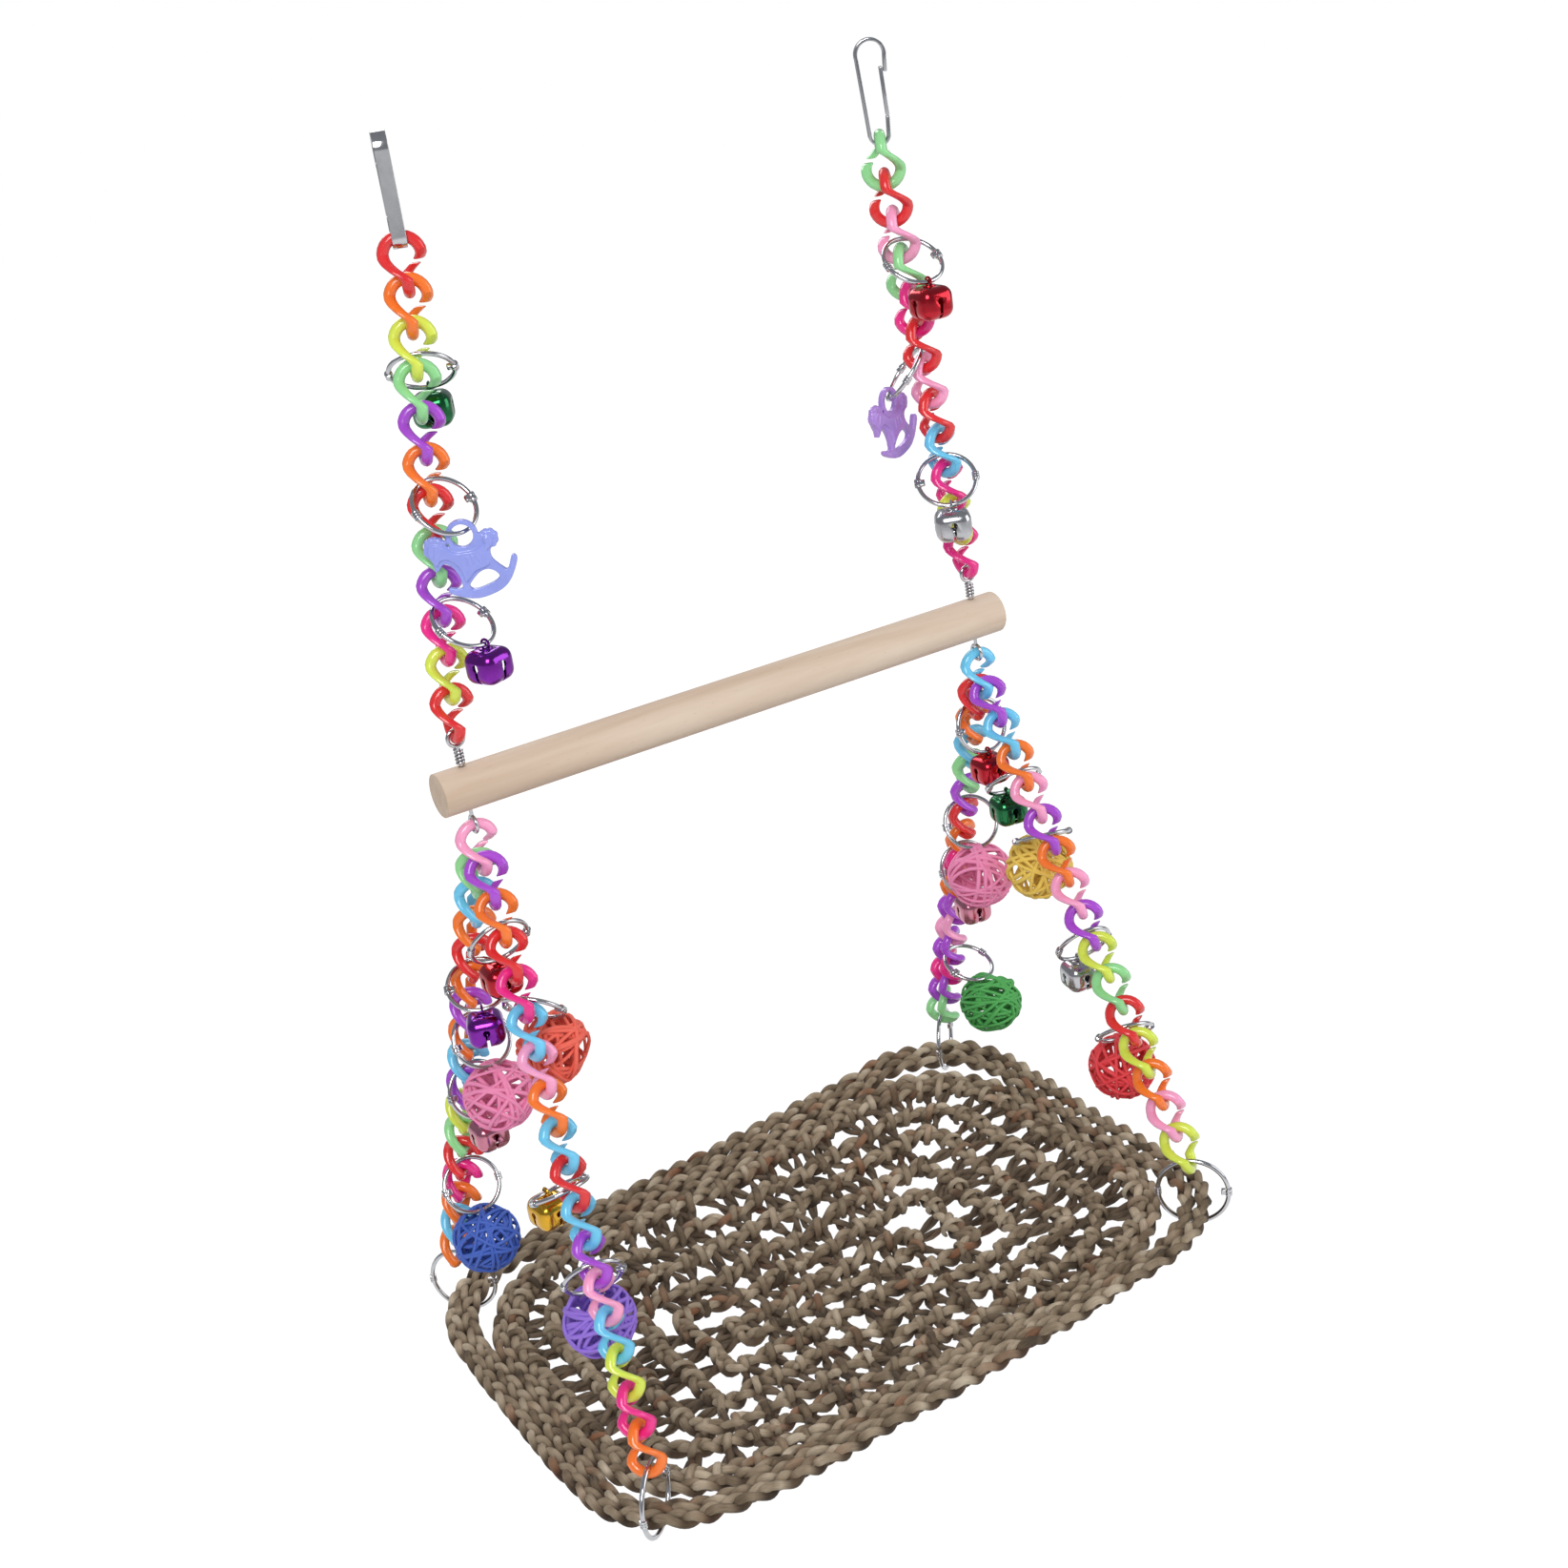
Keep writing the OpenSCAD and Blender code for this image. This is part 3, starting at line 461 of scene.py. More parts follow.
def chrome(name="Chrome wire"):
    s = Shader(name)
    cloud = s.noise(220, detail=2)
    fine = s.noise(2600, detail=2)
    colour = s.mix(cloud, (0.50, 0.50, 0.52), (0.72, 0.72, 0.74))
    return s.surface(base_color=colour, metallic=1.0, roughness=0.06 + cloud * 0.12,
                     normal=s.bump(fine, 0.06, 0.0002))


def shades(colour, dark, light=1.0, lift=0.0):
    """A deeper and a paler shade of a colour."""
    return tuple(c * dark for c in colour), tuple(min(c * light + lift, 1) for c in colour)


def moulded(name, colour, sheen=0.12):
    s = Shader(name)
    drift = s.noise(90, detail=2)
    grain = s.noise(1500, detail=2)
    tone = s.mix(drift, *shades(colour, 0.86, 1.05, 0.02))
    return s.surface(base_color=tone, roughness=0.16 + grain * 0.14,
                     normal=s.bump(s.noise(260, detail=2) * 0.7 + grain * 0.3, 0.10, 0.0003),
                     coat_weight=0.35, coat_roughness=0.06, subsurface_weight=sheen,
                     subsurface_radius=(0.004, 0.003, 0.003))


def anodised(name, colour):
    s = Shader(name)
    cloud = s.noise(160, detail=3)
    scuff = s.noise(900, detail=2, stretch=(1, 1, 5))
    return s.surface(base_color=s.mix(cloud, *shades(colour, 0.55)), metallic=1.0,
                     roughness=0.10 + scuff * 0.16, normal=s.bump(cloud * 0.6 + scuff * 0.4, 0.12, 0.0004),
                     coat_weight=0.5, coat_roughness=0.05)


def dyed_twig(name, colour):
    s = Shader(name)
    along = s.node("ShaderNodeUVMap", {"uv_map": "twig"})
    streak = s.noise(14, detail=4, stretch=(0.35, 6, 1), where=along)
    patch = s.noise(180, detail=2)
    base = s.mix(streak, *shades(colour, 0.70, 1.20, 0.08))
    return s.surface(base_color=s.mix(patch * 0.5, base, colour), roughness=0.45 + streak * 0.25,
                     normal=s.bump(streak, 0.35, 0.0004))


def beech():
    s = Shader("Beech dowel")
    grain = s.noise(60, detail=5, roughness=0.6, stretch=(0.08, 1, 1), distortion=0.4)
    pores = s.noise(900, detail=2, stretch=(0.05, 1, 1))
    flecks = s.node("ShaderNodeTexVoronoi", None, {
        "Vector": s.node("ShaderNodeMapping", None, {"Vector": s.place(), "Scale": (0.16, 1, 1)}),
        "Scale": 700.0}, output="Distance")
    tone = s.ramp(grain, (0.25, (0.50, 0.355, 0.25)), (0.5, (0.61, 0.475, 0.36)), (0.75, (0.70, 0.585, 0.47)))
    dash = s.ramp(flecks, (0.0, (0.55, 0.38, 0.26)), (0.12, (1, 1, 1)), (1.0, (1, 1, 1)))
    return s.surface(base_color=s.mix(0.45, tone, dash, "MULTIPLY"), roughness=0.5 + pores * 0.2,
                     normal=s.bump(grain * 0.5 + pores * 0.5, 0.18, 0.0004))


def seagrass(name="Seagrass"):
    s = Shader(name)
    along = s.node("ShaderNodeUVMap", {"uv_map": "strand"})
    fibre = s.noise(9, detail=5, roughness=0.65, stretch=(0.22, 9, 1), where=along)
    fine = s.noise(26, detail=4, roughness=0.7, stretch=(0.15, 10, 1), where=along)
    tint = s.node("ShaderNodeVertexColor", {"layer_name": "tint"}, output="Color")
    parts = s.node("ShaderNodeSeparateColor", None, {"Color": tint}, output="Red")
    # Red of the tint is tone, green is rust and blue is painted shade for the crevices of the weave
    rust, deep = parts.sibling("Green"), parts.sibling("Blue")
    tone = s.ramp(fibre * 0.75 + parts * 0.65 - 0.21,
                  (0.20, (0.080, 0.052, 0.028)), (0.38, (0.265, 0.190, 0.116)),
                  (0.58, (0.480, 0.374, 0.254)), (0.80, (0.780, 0.660, 0.490)))
    rusty = s.mix(rust, tone, (0.33, 0.13, 0.055))
    # Painted shade: the blue share darkens the grass where strands lie low or under others
    shaded = s.mix(deep, rusty, (0.24, 0.19, 0.15), "MULTIPLY")
    return s.surface(base_color=shaded, roughness=0.62 + fine * 0.25,
                     normal=s.bump(fibre * 0.6 + fine * 0.4, 0.95, 0.0010))


# ---- Woven grass ----


def rounded_loop(shape, step):
    """Points along a rounded rectangle, evenly spaced, and its length."""
    hx, hy, r = shape
    r = min(r, hx, hy)
    dense = []
    for k, (sx, sy) in enumerate([(1, 1), (-1, 1), (-1, -1), (1, -1)]):
        for i in range(25):
            a = radians(90 * k + 90 * i / 24)
            dense.append(Vector((sx * (hx - r) + r * cos(a), sy * (hy - r) + r * sin(a))))
    dense.append(dense[0].copy())
    lengths = [0.0]
    for a, b in zip(dense, dense[1:]):
        lengths.append(lengths[-1] + (b - a).length)
    count = max(int(round(lengths[-1] / step)), 4)
    points, j = [], 0
    for i in range(count):
        s = lengths[-1] * i / count
        while j < len(lengths) - 2 and lengths[j + 1] < s:
            j += 1
        span = lengths[j + 1] - lengths[j]
        points.append(dense[j].lerp(dense[j + 1], (s - lengths[j]) / span if span > 0 else 0))
    return points, lengths[-1]


class Strands:
    """One mesh of many strand tubes, with a strand UV map and a tint for each point: tone, rust and painted
    shade.
    """

    def __init__(self, uv="strand"):
        self.mesh = bmesh.new()
        self.uv = self.mesh.loops.layers.uv.new(uv)
        self.tint = self.mesh.verts.layers.float_color.new("tint")

    def tube(self, points, ups, half, tints, sides, closed, start=0.0):
        """A flat-oval tube through points; half gives its half width and half height."""
        n = len(points)
        rings = []
        along = [start]
        for i in range(n):
            before = points[i - 1] if closed or i else points[i]
            after = points[(i + 1) % n] if closed or i < n - 1 else points[i]
            forward = (after - before).normalized()
            side = forward.cross(ups[i]).normalized()
            up = side.cross(forward)
            wide, high = half(i) if callable(half) else half
            ring = []
            for k in range(sides):
                a = 2 * pi * k / sides
                vert = self.mesh.verts.new(points[i] + side * wide * cos(a) + up * high * sin(a))
                vert[self.tint] = (*tints[i], 1)
                ring.append(vert)
            rings.append(ring)
            if i:
                along.append(along[-1] + (points[i] - points[i - 1]).length * 100)
        if closed:
            along.append(along[-1] + (points[0] - points[-1]).length * 100)
        for i in range(n if closed else n - 1):
            for k in range(sides):
                m = (k + 1) % sides
                ring, after = rings[i], rings[(i + 1) % n]
                face = self.mesh.faces.new((ring[k], ring[m], after[m], after[k]))
                face.smooth = True
                for loop, (e, m) in zip(face.loops, ((i, k), (i, k + 1), (i + 1, k + 1), (i + 1, k))):
                    loop[self.uv].uv = (along[e], m / sides)
        if not closed:
            for ring, flip in ((rings[0], False), (rings[-1], True)):
                face = self.mesh.faces.new(ring if flip else ring[::-1])
                for loop in face.loops:
                    loop[self.uv].uv = (start, 0.5)

    def build(self, name):
        bmesh.ops.recalc_face_normals(self.mesh, faces=self.mesh.faces)
        data = bpy.data.meshes.new(name)
        self.mesh.to_mesh(data)
        self.mesh.free()
        return show(bpy.data.objects.new(name, data))


# Shares of a plait's width and height: how far its strands swing and rise, and their half sizes
PLAIT_OUT, PLAIT_UP, STRAND_WIDE, STRAND_HIGH = 0.29, 0.26, 0.24, 0.26
SEAM_STEPS = 12
# How far the middle wanders in its plane and out of it, over what length, and where it starts
DRIFT, DRIFT_UP, DRIFT_SPAN, DRIFT_EDGE = 3.6, 2.4, 21, 14
STITCH_SIDES, STITCH_POINTS, KNOT_STEPS, KNOT_LEAD = 5, 7, 8, 3.2
PLAIN = (0.5, 0, 0)
# Vector noise starts from the clock unless it is given a seed, and each run would differ
noise.seed_set(1795984476)


def on_mat(x, y, lift=0.0):
    """A point of the mat in metres; its hand-made middle wanders by a few millimetres."""
    inside = min(NET[0] + NET_STRAND / 2 - abs(x), NET[1] + NET_STRAND / 2 - abs(y)) / DRIFT_EDGE
    if inside > 0:
        wave = noise.noise_vector(Vector((x / DRIFT_SPAN, y / DRIFT_SPAN, 5.3))) * min(inside, 1.0)
        x, y, lift = x + DRIFT * wave.x, y + DRIFT * wave.y, lift + DRIFT_UP * wave.z
    return (MAT_FRAME @ Vector((x, y, sag(x, y) + lift))) * MM


def wander(seed, s, size):
    return noise.noise(Vector((s / size, seed * 7.31, seed * 3.17)))


def tint_of(rng_seed, s, depth):
    """Tone, rust and painted crevice shade of a strand at arc length s."""
    tone = 0.5 + 0.55 * wander(rng_seed, s, 9.0) + 0.25 * wander(rng_seed + 40, s, 3.0)
    rust = max(0.0, wander(rng_seed + 90, s, 26.0) - 0.30) * 2.2
    return (min(max(tone, 0.0), 1.0), min(rust, 0.8), min(max(depth, 0.0), 1.0))


def plait(strands, path, length, seed, width, height, period, lift=0.0, sway=0.0, heave=0.0, sides=7):
    """Three flat strands plaited along a closed path in the mat's own plane."""
    n = len(path)
    step = length / n
    turns = max(round(n * step / period), 1)
    for k in range(3):
        points, tints = [], []
        for i, p in enumerate(path):
            t = (path[(i + 1) % n] - path[i - 1]).normalized()
            out = Vector((t.y, -t.x))
            s = i * step
            fade = min(1.0, i / SEAM_STEPS, (n - i) / SEAM_STEPS)
            phase = 2 * pi * (turns * i / n + k / 3) + 0.5 * fade * wander(seed + k, s, 14)
            off = width * PLAIT_OUT * sin(phase) + fade * sway * wander(seed + 11, s, 22)
            high = height * PLAIT_UP * sin(2 * phase) + fade * heave * wander(seed + 17, s, 17)
            q = p + out * off
            points.append(on_mat(q.x, q.y, lift + high))
            # Third value is painted shade: darker where the strand dips below the plait's middle
            tints.append(tint_of(seed * 3 + k, s, 0.45 - 0.85 * sin(2 * phase)))
        size = [1 + 0.16 * thickness_noise(seed + k, i * step) for i in range(n)]
        strands.tube(points, [MAT_UP] * n,
                     lambda i: (width * STRAND_WIDE * MM * size[i], height * STRAND_HIGH * MM * size[i]),
                     tints, sides, True, start=k * 37.0)


def thickness_noise(seed, s):
    return noise.noise(Vector((s / 5.0, seed * 1.7, 4.2)))


def stitch(strands, a, b, seed, thick, bow):
    """One twisted two-ply leg of a crochet stitch, from a to b in the mat's plane."""
    along = b - a
    out = Vector((along.y, -along.x)).normalized()
    for k in range(2):
        points, tints = [], []
        for i in range(STITCH_POINTS):
            t = i / (STITCH_POINTS - 1)
            phase = pi * (k + 1.6 * t) + seed
            q = a.lerp(b, t) + out * (bow * sin(pi * t) + thick * 0.24 * cos(phase))
            lift = -0.6 + 1.3 * sin(pi * t) * sin(seed * 5.1) + thick * 0.24 * sin(phase)
            points.append(on_mat(q.x, q.y, lift))
            # Painted shade: every stitch is darkened by the same crevice share, as if lying deep in the weave
            tints.append(tint_of(seed + k, t * along.length, 0.75))
        strands.tube(points, [MAT_UP] * len(points), (thick * 0.30 * MM, thick * 0.25 * MM), tints,
                     STITCH_SIDES, False, start=seed * 3.0)


def knot(strands, foot, ahead, reach, seed):
    """One strand that wraps round the cord at the foot of a stitch."""
    out = Vector((ahead.y, -ahead.x))
    points, ups, tints = [], [], []
    for i in range(KNOT_STEPS + 1):
        t = i / KNOT_STEPS
        a = radians(-35 + 250 * i / KNOT_STEPS)
        q = foot + out * (reach * cos(a)) + ahead * (KNOT_LEAD * (t - 0.5))
        points.append(on_mat(q.x, q.y, 0.6 + reach * 0.95 * sin(a)))
        up = Vector((out.x * cos(a), out.y * cos(a), sin(a)))
        ups.append((MAT_FRAME.to_3x3() @ up).normalized())
        # Painted shade: darker where the wrap passes low, under the cord
        tints.append(tint_of(seed, i * 1.5, 0.5 - 0.6 * sin(a)))
    strands.tube(points, ups, (1.75 * MM, 0.95 * MM), tints, 6, False, start=seed)


# ---- Sizes and colours a user may change ----


def size_property(name, about, default, low, high):
    return bpy.props.FloatProperty(name=name, description=about + ", in millimetres", default=default,
                                   min=low, max=high)


def dye(name, colour):
    return bpy.props.FloatVectorProperty(name=name, description=name + " of the dyed plastic",
                                         default=colour, size=3, subtype="COLOR", min=0, max=1)


class SwingColours(bpy.types.PropertyGroup):
    red: dye("Red", (0.76, 0.018, 0.020))
    orange: dye("Orange", (0.95, 0.19, 0.012))
    lime: dye("Lime", (0.68, 0.80, 0.075))
    mint: dye("Mint", (0.29, 0.70, 0.29))
    blue: dye("Blue", (0.15, 0.58, 0.86))
    purple: dye("Purple", (0.40, 0.06, 0.63))
    pink: dye("Pink", (0.95, 0.36, 0.58))
    magenta: dye("Magenta", (0.87, 0.016, 0.26))


class SwingSizes(bpy.types.PropertyGroup):
    cord_width: size_property("Border cord", "Width of a plaited border cord", 7.2, 5, 8)
    round_width: size_property("Round", "Width of a crocheted round", 8.0, 4, 9)
    round_gap: size_property("Round spacing", "Distance between rounds", 16.4, 12, 20)
    stitch_gap: size_property("Stitch spacing", "Distance between V stitches", 12.4, 8, 16)
    twigs: bpy.props.IntProperty(name="Twigs", description="Twigs wound round each ball", default=23,
                                 min=12, max=60)


# ---- Pieces ----

def model_link():
    """Half a turn of round wire, an arm, another half turn and the slit arm, then a quarter twist."""
    r, mid = LINK_R * MM, -LINK_C / 2 * MM
    low = -(LINK_C - LINK_R) * MM
    bpy.ops.mesh.primitive_circle_add(vertices=12, radius=LINK_T / 2 * MM, fill_type="NGON",
                                      location=(r, 0, mid + LINK_SLIT / 2 * MM))
    link = added("Link")
    settle(link)
    edit(link, "FACE")

    def straight(height, steps):
        for _ in range(steps):
            bpy.ops.mesh.extrude_region_move(TRANSFORM_OT_translate={"value": (0, 0, height / steps)})

    straight(-r - (mid + LINK_SLIT / 2 * MM), 3)
    bpy.ops.mesh.spin(steps=14, angle=pi, center=(0, 0, -r), axis=(0, 1, 0))
    straight(low + r, 7)
    bpy.ops.mesh.spin(steps=14, angle=pi, center=(0, 0, low), axis=(0, 1, 0))
    straight(mid - LINK_SLIT / 2 * MM - low, 3)
    bpy.ops.mesh.select_all(action="DESELECT")
    bpy.ops.mesh.select_mode(type="EDGE")
    bpy.ops.mesh.select_non_manifold(extend=False)
    bpy.ops.mesh.edge_face_add()
    bpy.ops.mesh.select_mode(type="FACE")
    bpy.ops.mesh.select_all(action="DESELECT")
    pick_faces(link, lambda p: abs(p.z - mid) < LINK_SLIT / 2 * MM + NEAR and p.x > 0)
    bpy.ops.mesh.inset(thickness=0.35 * MM)
    bpy.ops.mesh.select_all(action="DESELECT")
    mesh = bmesh.from_edit_mesh(link.data)
    for vert in mesh.verts:
        flat = hypot(vert.co.x - r, vert.co.y)
        if abs(vert.co.z - mid) < LINK_SLIT / 2 * MM + 1e-6 and flat > LINK_T / 2 * MM - 1e-5:
            vert.co.z += copysign(0.3 * MM, vert.co.z - mid)
    bmesh.update_edit_mesh(link.data)
    bpy.ops.mesh.select_all(action="SELECT")
    bpy.ops.mesh.normals_make_consistent(inside=False)
    done()
    low_share = (LINK_LEN * 0.5 - LINK_C * 0.21) / LINK_LEN
    finish(link, "SIMPLE_DEFORM", deform_method="TWIST", deform_axis="Z", angle=-pi / 2,
           limits=(low_share, 1 - low_share))
    top = [v.co for v in link.data.vertices if v.co.z > -LINK_R * MM]
    cross, spread = sum(2 * p.x * p.y for p in top), sum(p.x ** 2 - p.y ** 2 for p in top)
    angle = degrees(0.5 * atan2(cross, spread))
    link.matrix_world = spin(-angle, "Z")
    settle(link)
    smooth(link, 35)
    return link


def link_groups():
    """Placements of the links of each node."""
    groups = {
        "first_link_left": [at(-HOOK_X, 0, FIRST_Z) @ spin(HOOK_YAW["left"] - 90, "Z")],
        "first_link_right": [at(HOOK_X, 0, FIRST_Z) @ spin(HOOK_YAW["right"] + 90, "Z")],
        "second_link_left": [at(0, 0, -SWAY_SLACK) @ RUNS[0].place(0)],
        "second_link_right": [at(0, 0, -SWAY_SLACK) @ RUNS[1].place(0)],
        "leg_pink_links": [at(-HOLE_X, 0, SHARED_Z)],
        "leg_blue_links": [at(HOLE_X, 0, SHARED_Z)]}
    names = {0: "left_{}_link", 1: "right_{}_link"}
    nodes = [part["node"] for part in frame["record"]["subparts"]]
    for number, run in enumerate(RUNS):
        for i in range(run.skip, run.count):
            node = names.get(number, "leg_{}_link").format(run.colour(i))
            node = node if node in nodes else node + "s"
            groups.setdefault(node, []).append(run.place(i))
    return groups


class SWING_OT_links(bpy.types.Operator):
    """Make the twisted plastic C-links of every chain"""
    bl_idname = "swing.links"
    bl_label = "Chain links"

    def execute(self, context):
        colours = context.scene.swing_colours
        master = model_link()
        materials = {}
        for node, places in link_groups().items():
            slot = slot_of(node)
            colour = slot.split("_")[1]
            if colour not in materials:
                materials[colour] = moulded("Gloss plastic " + colour, tuple(getattr(colours, colour)))
            obj = copies(master, [metres(p) for p in places], "Links_" + node)
            body = next(b for b, names in frame["record"]["behaviour"]["bodies"].items() if node in names)
            dress(obj, materials[colour], body, node)
        discard(master)
        return {"FINISHED"}


def model_ring(radius, wire, name):
    """A wire ring hanging from its top, with a three-knuckle hinge and a two-part clasp."""
    bpy.ops.mesh.primitive_torus_add(major_segments=56, minor_segments=10, major_radius=radius * MM,
                                     minor_radius=wire / 2 * MM, location=(0, 0, -radius * MM),
                                     rotation=(pi / 2, 0, 0))
    parts = [added(name)]
    for side, heights, tall in ((-1, (-1.12, -0.02, 1.08), 1.0), (1, (-0.85, 0.85), 1.5)):
        for height in heights:
            parts.append(cylinder("Knuckle", BARREL_D / 2, tall, (side * radius, 0, height - radius), 20))
            round_edges(parts[-1], 0.14, 2)
        parts.append(cylinder("Pin", BARREL_D * 0.3, BARREL_LEN, (side * radius, 0, -radius), 12))
    parts.append(block("Tongue", (wire * 1.1, wire * 0.9, BARREL_LEN * 0.8), (radius - wire, 0, -radius)))
    round_edges(parts[-1], 0.3, 3)
    ring = join(parts, name)
    settle(ring)
    smooth(ring, 45)
    return ring


RING_NODES = {0: "left_rings", 1: "right_rings"}


class SWING_OT_rings(bpy.types.Operator):
    """Make the hinged chrome rings that hold the charms and the mat"""
    bl_idname = "swing.rings"
    bl_label = "Chrome rings"

    def execute(self, context):
        metal = chrome()
        master = model_ring(RING_R, RING_WIRE, "Charm_ring")
        for node, body in (("left_rings", "left_chain"), ("right_rings", "right_chain"),
                           ("leg_rings", "seat")):
            places = [metres(hang.ring_place()) for hang in BELLS + BALLS + HORSES
                      if RING_NODES.get(hang.run, "leg_rings") == node]
            dress(copies(master, places, "Rings_" + node), metal, body, node)
        discard(master)
        master = model_ring(CORNER_RING_R, CORNER_WIRE, "Corner_ring")
        places = [metres(at(sx * GRIP[0], sy * GRIP[1], CORNER_RING_Z[side] + CORNER_RING_R)
                         @ spin(sx * sy * CORNER_TURN, "Z"))
                  for sx, side in ((-1, "left"), (1, "right")) for sy in (-1, 1)]
        dress(copies(master, places, "Rings_mat_corners"), metal, "seat", "corner_rings")
        discard(master)
        return {"FINISHED"}


class SWING_OT_hooks(bpy.types.Operator):
    """Round the edges of the snap hooks and their gates"""
    bl_idname = "swing.hooks"
    bl_label = "Snap hooks"

    def execute(self, context):
        metal = chrome("Chrome strip")
        for side in ("left", "right"):
            for node, body in (("hook_" + side, "frame"), ("gate_" + side, "gate_" + side)):
                strip = node_copy(node, "Strip_" + node)
                edit(strip, "FACE")
                bpy.ops.mesh.dissolve_limited(angle_limit=radians(1.5))
                done()
                soften(strip, 0.22, 3, 40)
                smooth(strip, 30)
                dress(strip, metal, body, node)
        return {"FINISHED"}


def model_bell():
    """A rounded-cube jingle bell with crossed slots, a wire eye and a pellet."""
    centre = -BELL_DROP
    shell = block("Bell", (BELL_W, BELL_W, BELL_H), (0, 0, centre))
    round_edges(shell, 4.2, 6, profile=0.5)
    finish(shell, "SOLIDIFY", thickness=BELL_WALL * MM, offset=-1)
    slot_top = centre + BELL_H * 0.08
    for turn in (0, 90):
        cutters = [block("Slot", (BELL_W + 2, BELL_SLOT, slot_top - centre + BELL_H),
                         (0, 0, (slot_top + centre - BELL_H) / 2))]
        for side in (-1, 1):
            cutters.append(cylinder("Hole", BELL_SLOT * 1.05, BELL_W / 2, (side * BELL_W / 2, 0, slot_top),
                                    turn=(0, pi / 2, 0)))
        for cutter in cutters:
            cutter.matrix_world = spin(turn, "Z")
            settle(cutter)
            cut(shell, cutter)
    soften(shell, 0.12, 2, 50)
    bpy.ops.mesh.primitive_torus_add(major_segments=28, minor_segments=8, major_radius=CHARM_EYE_R * MM,
                                     minor_radius=EYE_WIRE / 2 * MM, rotation=(0, pi / 2, 0))
    eye = added("Eye")
    settle(eye)
    cap = cylinder("Cap", 2.6, 0.7, (0, 0, centre + BELL_H / 2 + 0.15))
    round_edges(cap, 0.2, 2)
    bpy.ops.mesh.primitive_uv_sphere_add(
        segments=16, ring_count=10, radius=PELLET_D / 2 * MM,
        location=(0, 0, (centre - BELL_H / 2 + BELL_WALL + PLAY + PELLET_D / 2) * MM))
    pellet = added("Pellet")
    settle(pellet)
    bell = join([shell, eye, cap, pellet], "Bell")
    smooth(bell, 35)
    return bell


class SWING_OT_bells(bpy.types.Operator):
    """Make the metallic jingle bells"""
    bl_idname = "swing.bells"
    bl_label = "Jingle bells"

    def execute(self, context):
        finishes = {
            "red": (0.72, 0.010, 0.030), "green": (0.010, 0.20, 0.06), "purple": (0.30, 0.015, 0.50),
            "gold": (0.95, 0.52, 0.03), "pink": (0.85, 0.30, 0.42), "silver": (0.72, 0.72, 0.75)}
        materials = {c: anodised("Anodised " + c, v) for c, v in finishes.items()}
        master = model_bell()
        for number, hang in enumerate(BELLS):
            bell = copies(master, [metres(hang.place())], "Bell_" + hang.name)
            dress(bell, materials[hang.name.split("_")[-1]], hang.name, hang.name)
        discard(master)
        return {"FINISHED"}


# A ball's first two twigs, which carry its ring, and the two gaps that the ring goes through
RING_TWIGS = [Vector((1, 0.05, 0.03)), Vector((1, -0.12, 0.08))]
RING_GAPS = [Vector((s * 5.3, -0.8, 13.2)) for s in (-1, 1)]
GAP_ROOM, TOP_ROOM, TWIG_OFF, TWIG_STEPS = 2.0, 1.6, 6.5, 40


def wind_ball(name, place, count, seed):
    """Twigs wound at random round a ball, kept clear of the ring that passes under its top."""
    rng = random.Random(seed)
    strands = Strands("twig")
    centre = Vector((0, 0, -BALL_DROP))
    frame_3 = place.to_3x3()
    made = 0
    while made < count:
        if made < len(RING_TWIGS):
            axis = RING_TWIGS[made].normalized()
            offset = 0.0
        else:
            axis = Vector([rng.gauss(0, 1) for _ in range(3)]).normalized()
            offset = rng.uniform(-TWIG_OFF, TWIG_OFF)
            if any(abs(axis.dot(gap) - offset) < GAP_ROOM for gap in RING_GAPS):
                continue
            if abs(axis.dot(Vector((0, 0, 14))) - offset) < TOP_ROOM and abs(axis.x) < 0.8:
                continue
        thick = rng.uniform(0.70, 1.05)
        deep = rng.choice([0.0, 0.0, 0.9, 1.5]) if made >= len(RING_TWIGS) else 0.1
        radius = BALL_R - thick - 0.15 - deep
        u = axis.orthogonal().normalized()
        v = axis.cross(u)
        points, ups, tints = [], [], []
        flat = sqrt(max(radius ** 2 - offset ** 2, 1))
        shift = rng.random() * 9
        for i in range(TWIG_STEPS):
            a = 2 * pi * i / TWIG_STEPS
            lift = 0.35 * sin(5 * a + shift) - 0.2 * abs(sin(2.5 * a + shift))
            rise = offset + 0.5 * sin(2 * a + shift)
            direction = (u * cos(a) + v * sin(a)) * flat + axis * rise
            local = centre + direction.normalized() * (radius + min(lift, 0.1))
            points.append((place @ local) * MM)
            ups.append((frame_3 @ direction).normalized())
            tints.append(PLAIN)
        strands.tube(points, ups, (thick * MM, thick * 0.8 * MM), tints, 6, True, start=shift * 10)
        made += 1
    return strands.build(name)


class SWING_OT_balls(bpy.types.Operator):
    """Wind the dyed wicker balls"""
    bl_idname = "swing.balls"
    bl_label = "Wicker balls"

    def execute(self, context):
        dyes = {
            "coral": (0.92, 0.11, 0.060), "purple": (0.30, 0.15, 0.72), "pink": (0.98, 0.25, 0.47),
            "blue": (0.022, 0.095, 0.50), "yellow": (0.96, 0.60, 0.080), "red": (0.82, 0.022, 0.035),
            "green": (0.045, 0.38, 0.060)}
        materials = {}
        for seed, hang in enumerate(BALLS):
            colour = hang.name.split("_")[-1]
            if colour not in materials:
                materials[colour] = dyed_twig("Dyed twig " + colour, dyes[colour])
            ball = wind_ball("Ball_" + hang.name, hang.place(), context.scene.swing_sizes.twigs, seed + 5)
            dress(ball, materials[colour], hang.name, hang.name)
        return {"FINISHED"}


